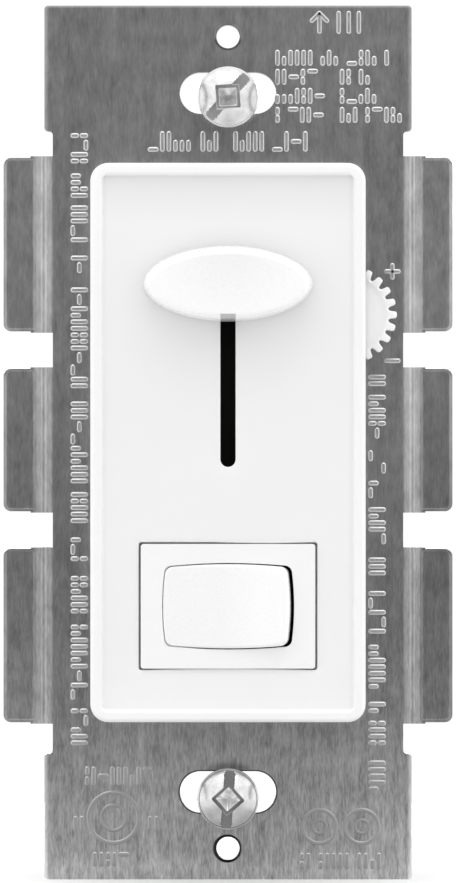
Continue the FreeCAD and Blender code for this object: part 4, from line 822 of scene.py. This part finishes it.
def make_knob():
    """Oval knob: drafted wall, soft front edge and a front face hollowed along its length."""
    centre_z = (KNOB_LOW.z + KNOB_HIGH.z) / 2
    half_x = (KNOB_HIGH.x - KNOB_LOW.x) / 2
    half_z = (KNOB_HIGH.z - KNOB_LOW.z) / 2
    rear = KNOB_HIGH.y
    front = KNOB_LOW.y

    def oval(inset, shift=0.0, scale=1.0):
        """Points (x, z) round a superellipse, slightly more pointed than an ellipse."""
        outline = []
        for i in range(KNOB_SIDES):
            angle = 2 * math.pi * i / KNOB_SIDES
            c, s = math.cos(angle), math.sin(angle)
            x = (half_x - inset) * scale * math.copysign(abs(c) ** (2 / KNOB_POWER), c)
            z = (half_z - inset) * scale * math.copysign(abs(s) ** (2 / KNOB_POWER), s)
            outline.append((x, centre_z + shift + z))
        return outline

    def face_depth(x, z):
        along = min(1.0, abs(x) / (half_x - 0.9))
        across = min(1.0, abs(z - centre_z) / (half_z - 0.8))
        return front + 0.08 + KNOB_DISH * (1 - along ** 2) * (1 - 0.55 * across ** 2)

    foot = rear - KNOB_FOOT_ROUND
    wall_length = rear - front - KNOB_DISH - KNOB_EDGE_ROUND
    rings = [at_depth(oval(KNOB_FOOT_ROUND), rear), at_depth(oval(0.0), foot)]
    for step in range(1, KNOB_WALL_STEPS + 1):
        share = step / KNOB_WALL_STEPS
        rings.append(at_depth(oval(KNOB_DRAFT * share, KNOB_FACE_SHIFT * share), foot - wall_length * share))
    wall_end = foot - wall_length
    for step in range(1, KNOB_EDGE_STEPS):
        angle = math.radians(90 * step / KNOB_EDGE_STEPS)
        outline = oval(KNOB_DRAFT + KNOB_EDGE_ROUND * (1 - math.cos(angle)), KNOB_FACE_SHIFT)
        rise = math.sin(angle)
        rings.append([(x, wall_end + (face_depth(x, z) - wall_end) * rise, z) for x, z in outline])
    for step in range(KNOB_FACE_STEPS):
        outline = oval(KNOB_DRAFT + KNOB_EDGE_ROUND, KNOB_FACE_SHIFT, 1 - step / KNOB_FACE_STEPS)
        rings.append([(x, face_depth(x, z), z) for x, z in outline])
    middle_z = centre_z + KNOB_FACE_SHIFT
    return mesh_piece("knob", *bridge(rings, (0, rear, centre_z), (0, face_depth(0, middle_z), middle_z)))


knob = make_knob()
finish_piece(knob, knob_plastic(), "slider", "white_plastic", "slider_knob")


# -------------------- rocker paddle
PADDLE_HALF_X = 7.53
PADDLE_HALF_Z = 5.0
PADDLE_SIDE_BULGE = 0.35
PADDLE_END_BULGE = 0.37
PADDLE_CORNER = 0.9
PADDLE_BEND_X = 0.5
PADDLE_LEFT_EDGE = 0.3
PADDLE_LEFT_RISE_X = -4.0
PADDLE_DIP = 0.3
PADDLE_EDGE_ROUND = 0.55
PADDLE_FACE_STEPS = 14
PADDLE_REAR_Y = -4.0
PADDLE_FRONT_Y = -7.3
ROCKER_PIVOT = Vector(joints["rocker_tilt"]["pos_m"]) / MM
ROCKER_HALF_TILT = math.radians(joints["rocker_tilt"]["range_deg"][1] / 2)


def barrel(half_x, half_z, corner=PADDLE_CORNER, steps=18, corner_steps=6):
    """Outline (x, z) with four bowed sides and round corners, centred on the origin."""
    cx = half_x - PADDLE_SIDE_BULGE
    cz = half_z - PADDLE_END_BULGE
    quarter = []
    for i in range(steps):
        z = (cz - corner) * i / (steps - 1)
        quarter.append((half_x - PADDLE_SIDE_BULGE * (z / cz) ** 2, z))
    x_start, z_start = quarter[-1]
    x_end = cx - corner
    z_end = half_z - PADDLE_END_BULGE * (x_end / cx) ** 2
    for i in range(1, corner_steps):
        angle = math.radians(90 * i / corner_steps)
        x = x_end + (x_start - x_end) * math.cos(angle)
        z = z_start + (z_end - z_start) * math.sin(angle)
        quarter.append((x, z))
    for i in range(steps):
        x = x_end * (1 - i / (steps - 1))
        quarter.append((x, half_z - PADDLE_END_BULGE * (x / cx) ** 2))
    points = quarter + [(-x, z) for x, z in reversed(quarter[:-1])]
    points += [(-x, -z) for x, z in quarter[1:]]
    points += [(x, -z) for x, z in reversed(quarter[1:-1])]
    return points


def make_paddle():
    """Rocker paddle: bowed sides, soft edges and a front face that dips towards its middle."""
    def outline(inset):
        return barrel(PADDLE_HALF_X - inset, PADDLE_HALF_Z - inset, max(PADDLE_CORNER - inset * 0.5, 0.4))

    def face_depth(x, z):
        reach = PADDLE_HALF_X - PADDLE_EDGE_ROUND
        right = max(0.0, (x - PADDLE_BEND_X) / (reach - PADDLE_BEND_X))
        left = max(0.0, (PADDLE_LEFT_RISE_X - x) / (reach + PADDLE_LEFT_RISE_X))
        return PADDLE_FRONT_Y + 0.02 + PADDLE_DIP * (1 - min(1.0, right + left) ** 2)

    def edge_ring(inset, drop):
        """One ring of the rounded edge, which is tighter at the paddle's left end."""
        ring = []
        tight = outline(inset * PADDLE_LEFT_EDGE + 0.02)
        for (left_x, left_z), (right_x, right_z) in zip(tight, outline(inset + 0.02)):
            share = clamped((right_x / PADDLE_HALF_X + 1) / 2)
            x = left_x + (right_x - left_x) * share
            z = left_z + (right_z - left_z) * share
            fall = drop * (PADDLE_LEFT_EDGE + (1 - PADDLE_LEFT_EDGE) * share)
            ring.append((x, face_depth(x, z) + fall, z))
        return ring

    rings = [at_depth(outline(0.3), PADDLE_REAR_Y), at_depth(outline(0.02), PADDLE_REAR_Y - 0.3)]
    rings.append(at_depth(outline(0.0), PADDLE_FRONT_Y + 1.6))
    for inset, drop in arc_profile(PADDLE_EDGE_ROUND, 7):
        rings.append(edge_ring(inset, drop))
    base = [(x, z) for x, y, z in rings[-1]]
    for step in range(1, PADDLE_FACE_STEPS):
        share = 1 - step / PADDLE_FACE_STEPS
        rings.append([(x * share, face_depth(x * share, z * share), z * share) for x, z in base])
    vertices, faces = bridge(rings, (0, PADDLE_REAR_Y, 0), (0, face_depth(0, 0), 0))
    turn = Matrix.Rotation(-ROCKER_HALF_TILT, 3, "Z")
    placed = []
    for x, y, z in vertices:
        point = turn @ Vector((x, y - ROCKER_PIVOT.y, z))
        placed.append((point.x, point.y + ROCKER_PIVOT.y, point.z + ROCKER_PIVOT.z))
    return mesh_piece("paddle", placed, faces)


paddle = make_paddle()
finish_piece(paddle, paddle_plastic(), "rocker", "white_plastic", "rocker_paddle")


# -------------------- lip inside the bezel's opening
OPENING_GAP_X = 0.3
OPENING_GAP_Z = 0.12
LIP_GAP = 0.03
LIP_START_DEPTH = 0.01
LIP_END_DEPTH = 0.32
LIP_REAR_DEPTH = 0.75
LIP_START_X = -6.0


def make_opening_lip():
    """Sloping lip that closes in on the paddle's left edge and dies out towards the right."""
    shift = (BEZEL_LOW.y - ROCKER_PIVOT.y) * math.tan(ROCKER_HALF_TILT)
    outer = barrel(PADDLE_HALF_X + OPENING_GAP_X, PADDLE_HALF_Z + OPENING_GAP_Z)
    inner = barrel(PADDLE_HALF_X + LIP_GAP, PADDLE_HALF_Z + LIP_GAP)
    reach = []
    for (ox, oz), (ix, iz) in zip(outer, inner):
        share = clamped(1 - ox / LIP_START_X)
        x = max(ox, ix + shift) if ox < 0 else ox
        reach.append((x + (ox - x) * share, iz + (oz - iz) * share + ROCKER_Z))
    outer = [(x, z + ROCKER_Z) for x, z in outer]
    front = BEZEL_LOW.y
    rings = [at_depth(outer, front + LIP_START_DEPTH), at_depth(reach, front + LIP_END_DEPTH)]
    rings += [at_depth(reach, front + LIP_REAR_DEPTH), at_depth(outer, front + LIP_REAR_DEPTH)]
    return mesh_piece("opening_lip", *bridge(rings + rings[:1]))


opening_lip = make_opening_lip()
sharpen(opening_lip, 30)
finish_piece(opening_lip, white_button, "chassis", "white_plastic")


# -------------------- box screws
HEAD_RADIUS = 3.65
HEAD_RIM = 0.7
HEAD_DOME = 1.6
NECK_RADIUS = 1.45
NECK_END = 1.05
THREAD_RADIUS = 1.74
THREAD_DEPTH = 0.34
THREAD_PITCH = 0.794
SLOT_HALF_WIDTH = 0.6
SLOT_DEPTH = 1.35
SCREW_FRONT = node_box("upper_box_screw")[0].y
RECESS_REACH = 1.95
RECESS_INNER = 1.5
RECESS_SLOPE = 0.5
SCREW_SIDES = 144
HEAD_STEPS = 64
THREAD_STEPS = 8


def head_drop(u, v):
    """Depth of the head's surface behind its highest point; u runs along the driver slot."""
    radius = math.hypot(u, v)
    ball = (HEAD_RADIUS ** 2 + HEAD_DOME ** 2) / (2 * HEAD_DOME)
    drop = ball - math.sqrt(max(0.0, ball ** 2 - radius ** 2))
    if abs(v) < SLOT_HALF_WIDTH:
        drop = max(drop, SLOT_DEPTH)
    square = abs(u) + abs(v)
    if square < RECESS_REACH:
        floor = SLOT_DEPTH + 0.05 + max(0.0, RECESS_INNER - square) * RECESS_SLOPE
        drop = max(drop, floor)
    return drop


def make_box_screw(name, node, slot_degrees):
    """Combination-drive pan head screw with a helical thread."""
    low, high = node_box(node)
    centre_x = (low.x + high.x) / 2
    centre_z = (low.z + high.z) / 2
    turn = math.radians(slot_degrees)
    angles = [2 * math.pi * i / SCREW_SIDES for i in range(SCREW_SIDES)]

    def at_angle(radius, angle, y):
        return (centre_x + radius * math.cos(angle), y, centre_z + radius * math.sin(angle))

    rings = []
    thread_rings = int((high.y - NECK_END) / THREAD_PITCH * THREAD_STEPS)
    for step in range(thread_rings + 1):
        y = high.y - (high.y - NECK_END) * step / thread_rings
        taper = min(1.0, 0.6 + (high.y - y) / 1.5)
        ring = []
        for angle in angles:
            phase = (y / THREAD_PITCH + angle / (2 * math.pi)) % 1.0
            groove = abs(2 * phase - 1)
            ring.append(at_angle((THREAD_RADIUS - THREAD_DEPTH * groove) * taper, angle, y))
        rings.append(ring)
    seat = low.y + HEAD_DOME + HEAD_RIM
    for radius, y in (
        (NECK_RADIUS, NECK_END), (NECK_RADIUS, seat), (HEAD_RADIUS - 0.15, seat),
        (HEAD_RADIUS, seat - 0.12), (HEAD_RADIUS, seat - HEAD_RIM + 0.1),
    ):
        rings.append([at_angle(radius, angle, y) for angle in angles])
    for step in range(HEAD_STEPS):
        radius = (HEAD_RADIUS - 0.04) * (1 - step / HEAD_STEPS)
        ring = []
        for angle in angles:
            drop = head_drop(radius * math.cos(angle - turn), radius * math.sin(angle - turn))
            ring.append(at_angle(radius, angle, low.y + drop))
        rings.append(ring)
    tip = (centre_x, low.y + head_drop(0, 0), centre_z)
    piece = mesh_piece(name, *bridge(rings, (centre_x, high.y, centre_z), tip))
    sharpen(piece, 28)
    return piece


# Per screw: slot angle, painted shade on the slot floor, slot roughness and painted light and shade in the recess.
for place, slot_degrees, slot_shade_tone, slot_roughness, recess_light_and_shade in (
    ("upper", 48, 0.6, 0.4, 0.6),
    ("lower", 86, 0.3, 0.35, 1.0),
):
    node = f"{place}_box_screw"
    box_screw = make_box_screw(f"{place}_screw_skin", node, slot_degrees)
    centre_z = joints[f"{place}_screw_turn"]["pos_m"][2] / MM
    plating = screw_metal(f"{place}_screw_zinc", centre_z, slot_shade_tone, slot_roughness, recess_light_and_shade)
    finish_piece(box_screw, plating, f"{place}_screw", "zinc_screw", node)


# -------------------- trim wheel
TEETH = 23
TOOTH_STEPS = 16
TOOTH_HEIGHT = 0.95
TOOTH_HALF_WIDTH = 0.48
TOOTH_SHOULDER = 0.35
TOOTH_FLANK = 0.16
WHEEL_SINK = 0.16


def make_wheel():
    """Thumbwheel: rounded teeth, a soft front edge and a sunk front face."""
    centre_x = joints["trim_turn"]["pos_m"][0] / MM
    centre_z = joints["trim_turn"]["pos_m"][2] / MM
    tip = (WHEEL_HIGH.z - WHEEL_LOW.z) / 2
    root = tip - TOOTH_HEIGHT
    pitch = 2 * math.pi / TEETH

    def profile(offset, inset):
        """Radius at an angle within one tooth: half its tip, flank, gap, flank, half its tip."""
        across = (tip - inset) * min(offset, pitch - offset)
        width = TOOTH_HALF_WIDTH - inset
        if across < width:
            rise = math.sqrt(max(0.0, 1 - (across / width) ** 4))
            return root - inset + TOOTH_HEIGHT * (TOOTH_SHOULDER + (1 - TOOTH_SHOULDER) * rise)
        depth = min(1.0, (across - width) / TOOTH_FLANK)
        return root - inset + TOOTH_HEIGHT * TOOTH_SHOULDER * (1 - depth)

    def toothed(inset):
        points = []
        for tooth in range(TEETH):
            for i in range(TOOTH_STEPS):
                offset = pitch * i / TOOTH_STEPS
                radius = profile(offset, inset)
                angle = pitch * tooth + offset
                points.append((centre_x + radius * math.cos(angle), centre_z + radius * math.sin(angle)))
        return points

    rear = WHEEL_HIGH.y
    front = WHEEL_LOW.y
    rings = []
    teeth = ((0.1, rear), (0.0, rear - 0.1), (0.0, front + 0.16), (0.05, front + 0.04), (0.15, front))
    for inset, y in teeth:
        rings.append(at_depth(toothed(inset), y))
    for inset, y in ((0.3, front), (0.42, front + 0.12), (1.2, front + WHEEL_SINK)):
        rings.append(at_depth(on_circle(root - inset, TEETH * TOOTH_STEPS, centre_x, centre_z), y))
    caps = [(centre_x, y, centre_z) for y in (rear, front + WHEEL_SINK)]
    return mesh_piece("thumbwheel", *bridge(rings, *caps))


wheel = make_wheel()
sharpen(wheel, 50)
finish_piece(wheel, wheel_brightened_white, "trim", "white_plastic", "trim_wheel")


# -------------------- stamped marks
# All in mm on the strap's face. A run of print is (where it starts, how long it is) along its row.
MARK_RISE = 0.1
MARK_SINK = 0.02
MARK_STROKE = 0.32
MARK_FLAT = 0.45
FINE_STROKE = 0.3
TICK_PITCH = 0.78
DASH_LENGTH = 0.75
DASH_GAP = 0.72
ARROW_X, ARROW_Z = 10.9, 50.1
ARROW_REACH = 1.1
ARROW_BARB = 0.9
ARROW_TICKS = (13.2, 14.4, 15.6)
RATING_ROWS = [
    [(5.9, 7.4), (14.4, 5.0)],
    [(5.9, 5.4), (13.6, 3.8)],
    [(5.9, 5.4), (13.6, 4.4)],
    [(5.9, 5.4), (13.6, 7.6)],
]
RATING_TOP_Z = 45.2
RATING_PITCH = 2.27
TITLE_RUNS = [(-9.3, 5.4), (-3.0, 2.6), (0.9, 9.2)]
TITLE_Z = 34.95
LEFT_X = -18.5
LEFT_RUNS = [
    (-36.6, 3.6), (-31.8, 8.6), (-22.0, 2.4), (-18.2, 12.4), (-4.6, 9.6),
    (6.2, 4.2), (11.6, 3.2), (16.2, 4.6), (22.0, 8.4), (32.0, 4.4),
]
RIGHT_X = 17.0
RIGHT_RUNS = [
    (-7.8, 1.2), (-5.4, 5.2), (1.2, 5.4), (8.0, 4.6), (14.0, 2.6),
    (18.0, 5.0), (24.4, 5.4), (31.2, 5.6), (38.2, 3.6),
]
BIG_RING_X, BIG_RING_Z = -13.65, -44.75
SMALL_RINGS_X, SMALL_RINGS_Z = (10.9, 15.95), -45.8
SIGN_X, PLUS_Z, MINUS_Z = 19.6, 20.4, 9.75
PLUS_REACH = 0.74
MINUS_REACH = 0.72


class Marks(Skin):
    """Raised strokes on the strap's front face."""

    def stroke(self, x0, z0, x1, z1, half=MARK_STROKE):
        """Bar with round ends and a crowned top."""
        along = Vector((x1 - x0, z1 - z0))
        angle = math.atan2(along.y, along.x) if along.length > 0 else 0.0

        def outline(radius):
            points = []
            for (cx, cz), start in (((x1, z1), -90), ((x0, z0), 90)):
                for step in range(7):
                    turn = angle + math.radians(start + 30 * step)
                    points.append((cx + radius * math.cos(turn), cz + radius * math.sin(turn)))
            return points

        rings = [at_depth(outline(half), STRAP_FRONT + MARK_SINK)]
        rings.append(at_depth(outline(half * MARK_FLAT), STRAP_FRONT - MARK_RISE))
        middle = ((x0 + x1) / 2, STRAP_FRONT - MARK_RISE, (z0 + z1) / 2)
        self.add(*bridge(rings, None, middle))

    def ring(self, x, z, radius, half):
        flat = half * MARK_FLAT
        profile = ((-half, MARK_SINK), (-flat, -MARK_RISE), (flat, -MARK_RISE), (half, MARK_SINK))
        rings = [at_depth(on_circle(radius + grow, 40, x, z), STRAP_FRONT + y) for grow, y in profile]
        self.add(*bridge(rings))

    def print_runs(self, rng, runs, height, across):
        """Ticks and dashes in place of small print. across maps (u along, v up the row) to (x, z)."""
        for start, length in runs:
            self.print_run(rng, start, start + length, height, across)

    def print_run(self, rng, u, end, height, across):
        while u < end - 0.3:
            kind = rng.choice(["tick", "tick", "tick", "short", "dash", "pair"])
            if kind == "dash":
                v = height * rng.choice([0.0, 0.5, 1.0])
                reach = min(DASH_LENGTH, end - u)
                self.stroke(*across(u, v), *across(u + reach, v))
                u += reach + DASH_GAP
            else:
                parts = {"tick": [(0, 1)], "short": [(0, 0.45)], "pair": [(0, 0.3), (0.7, 1)]}[kind]
                for low, high in parts:
                    self.stroke(*across(u, height * low), *across(u, height * high))
                u += TICK_PITCH
            if rng.random() < 0.08:
                u += 0.7


def make_marks():
    """Arrow, rows of print, rings, plus and minus. They spell nothing."""
    rng = random.Random(7)
    marks = Marks()

    def level(base_z):
        return lambda u, v: (u, base_z + v)

    def upright(base_x):
        return lambda u, v: (base_x + v, -u)

    arrow_top = ARROW_Z + ARROW_REACH
    for x in (ARROW_X, *ARROW_TICKS):
        marks.stroke(x, ARROW_Z - ARROW_REACH, x, arrow_top, FINE_STROKE)
    for barb in (-ARROW_BARB, ARROW_BARB):
        marks.stroke(ARROW_X + barb, ARROW_Z + 0.2, ARROW_X, arrow_top, FINE_STROKE)

    for index, runs in enumerate(RATING_ROWS):
        marks.print_runs(rng, runs, 1.35, level(RATING_TOP_Z - RATING_PITCH * index))
    marks.print_runs(rng, TITLE_RUNS, 1.9, level(TITLE_Z))
    marks.print_runs(rng, LEFT_RUNS, 1.55, upright(LEFT_X))
    marks.print_runs(rng, RIGHT_RUNS, 1.55, upright(RIGHT_X))

    marks.print_runs(rng, [(-16.8, 7.4)], 1.7, level(-40.6))
    marks.print_runs(rng, [(-18.2, 1.2), (-9.3, 1.8)], 1.2, level(-46.0))
    marks.print_runs(rng, [(-15.9, 3.9)], 1.2, level(-50.3))
    marks.print_runs(rng, [(8.8, 9.6)], 1.4, level(-50.6))
    for radius, half in ((3.0, 0.28), (1.5, 0.24)):
        marks.ring(BIG_RING_X, BIG_RING_Z, radius, half)
    for x in SMALL_RINGS_X:
        for radius, half in ((2.0, 0.26), (0.8, 0.22)):
            marks.ring(x, SMALL_RINGS_Z, radius, half)

    marks.stroke(SIGN_X - PLUS_REACH, PLUS_Z, SIGN_X + PLUS_REACH, PLUS_Z, FINE_STROKE)
    marks.stroke(SIGN_X, PLUS_Z - PLUS_REACH, SIGN_X, PLUS_Z + PLUS_REACH, FINE_STROKE)
    marks.stroke(SIGN_X - MINUS_REACH, MINUS_Z, SIGN_X + MINUS_REACH, MINUS_Z, FINE_STROKE)
    return mesh_piece("stamped_marks", marks.vertices, marks.faces)


marks = make_marks()
sharpen(marks, 20)
finish_piece(marks, stamped, "chassis", "strap_metal")


# -------------------- backdrop, light and camera
CAMERA_DISTANCE = 650 * MM
VIEW_HEIGHT = 105.3 * MM
SENSOR = 36.0
FLOOR_GAP = 0.6 * MM
FLOOR_RADIUS = 150.0
FLOOR_TONE = 0.64
SURROUND_LOW = 1.275
SURROUND_HIGH = 1.48
SURROUND_FRONT = 0.13
SKY_START, SKY_END = 0.3, 0.95
FRONT_START, FRONT_END = -0.975, -0.82
GAP_START = 0.84
GAP_END = 0.93
GAP_SOFTNESS = 0.02
GAP_DARKNESS = 0.6
CAMERA_WHITE = 1.05
CAMERA_RISE = 0.12 * MM


def make_floor():
    """Round pale floor just under the strap's lower edge."""
    z = (cad_low.z - FLOOR_GAP) / MM
    rings = [[(x, y, z) for x, y in on_circle(radius, 96)] for radius in (FLOOR_RADIUS, 120.0, 20.0)]
    vertices, faces = bridge(rings, None, (0, 0, z))
    floor = mesh_piece("floor", vertices, faces)
    m = Material("floor_white")
    cloud = m.noise(m.scaled(3, 3, 3), 1.0, 2.0)
    m.drive(Base_Color=m.ramp(cloud, [(0.2, FLOOR_TONE * 0.99), (0.8, FLOOR_TONE * 1.01)]))
    m.set(Roughness=0.9, Specular_IOR_Level=0.1)
    floor.data.materials.append(m.material)


make_floor()


def make_world():
    """Soft surround: bright overhead, dark round the camera; the camera itself sees plain white."""
    world = bpy.data.worlds.new("studio")
    bpy.context.scene.world = world
    world.use_nodes = True
    tree = world.node_tree
    coordinates = tree.nodes.new("ShaderNodeTexCoord")
    split = tree.nodes.new("ShaderNodeSeparateXYZ")
    tree.links.new(coordinates.outputs["Generated"], split.inputs["Vector"])

    def ranged(source, low, high, to_low, to_high):
        node = tree.nodes.new("ShaderNodeMapRange")
        node.interpolation_type = "SMOOTHSTEP"
        for name, value in (("From Min", low), ("From Max", high), ("To Min", to_low), ("To Max", to_high)):
            node.inputs[name].default_value = value
        tree.links.new(source, node.inputs["Value"])
        return node.outputs["Result"]

    def combine(operation, a, b=0.0):
        node = tree.nodes.new("ShaderNodeMath")
        node.operation = operation
        feed(tree, a, node.inputs[0])
        feed(tree, b, node.inputs[1])
        return node.outputs["Value"]

    height = ranged(split.outputs["Z"], SKY_START, SKY_END, SURROUND_LOW, SURROUND_HIGH)
    front = ranged(split.outputs["Y"], FRONT_START, FRONT_END, SURROUND_FRONT, 1.0)
    side = combine("ABSOLUTE", split.outputs["X"])
    beyond = ranged(side, GAP_START, GAP_START + GAP_SOFTNESS, 0.0, 1.0)
    before = ranged(side, GAP_END - GAP_SOFTNESS, GAP_END, 1.0, 0.0)
    gap = combine("MULTIPLY", beyond, before)
    open_share = combine("SUBTRACT", 1.0, combine("MULTIPLY", gap, GAP_DARKNESS))
    strength = combine("MULTIPLY", combine("MULTIPLY", height, front), open_share)

    background = tree.nodes["Background"]
    plain = tree.nodes.new("ShaderNodeBackground")
    paths = tree.nodes.new("ShaderNodeLightPath")
    mix = tree.nodes.new("ShaderNodeMixShader")
    feed(tree, strength, background.inputs["Strength"])
    feed(tree, CAMERA_WHITE, plain.inputs["Strength"])
    for index, shader in ((1, background), (2, plain)):
        feed(tree, (1, 1, 1, 1), shader.inputs["Color"])
        feed(tree, shader.outputs["Background"], mix.inputs[index])
    tree.links.new(paths.outputs["Is Camera Ray"], mix.inputs["Fac"])
    tree.links.new(mix.outputs["Shader"], tree.nodes["World Output"].inputs["Surface"])


make_world()


def area_light(name, x, y, z, size_x, size_z, power, target=(0, 0, 0)):
    """Lamp at a place and of a size in metres, aimed at its target and hidden from the camera."""
    light = bpy.data.lights.new(name, "AREA")
    light.shape = "RECTANGLE"
    light.size = size_x
    light.size_y = size_z
    light.energy = power
    lamp = bpy.data.objects.new(name, light)
    bpy.context.scene.collection.objects.link(lamp)
    lamp.location = (x, y, z)
    direction = Vector(target) - lamp.location
    lamp.visible_camera = False
    lamp.rotation_mode = "QUATERNION"
    lamp.rotation_quaternion = direction.to_track_quat("-Z", "Y")
    return lamp


area_light("key_above", 0, -0.5, 1.0, 0.9, 0.5, 1)
area_light("floor_wash", 0, 0.5, 0.16, 0.7, 0.16, 4.0, target=(0, 0.02, -0.053))


def make_camera():
    camera = bpy.data.cameras.new("camera")
    camera.sensor_width = SENSOR
    camera.lens = SENSOR * CAMERA_DISTANCE / VIEW_HEIGHT
    camera.clip_start = 0.05
    camera.clip_end = 20
    holder = bpy.data.objects.new("camera", camera)
    bpy.context.scene.collection.objects.link(holder)
    holder.location = (0, STRAP_FRONT * MM - CAMERA_DISTANCE, CAMERA_RISE)
    holder.rotation_euler = (math.radians(90), 0, 0)
    bpy.context.scene.camera = holder


make_camera()
bpy.context.scene.view_settings.view_transform = "Standard"
bpy.context.scene.view_settings.look = "None"
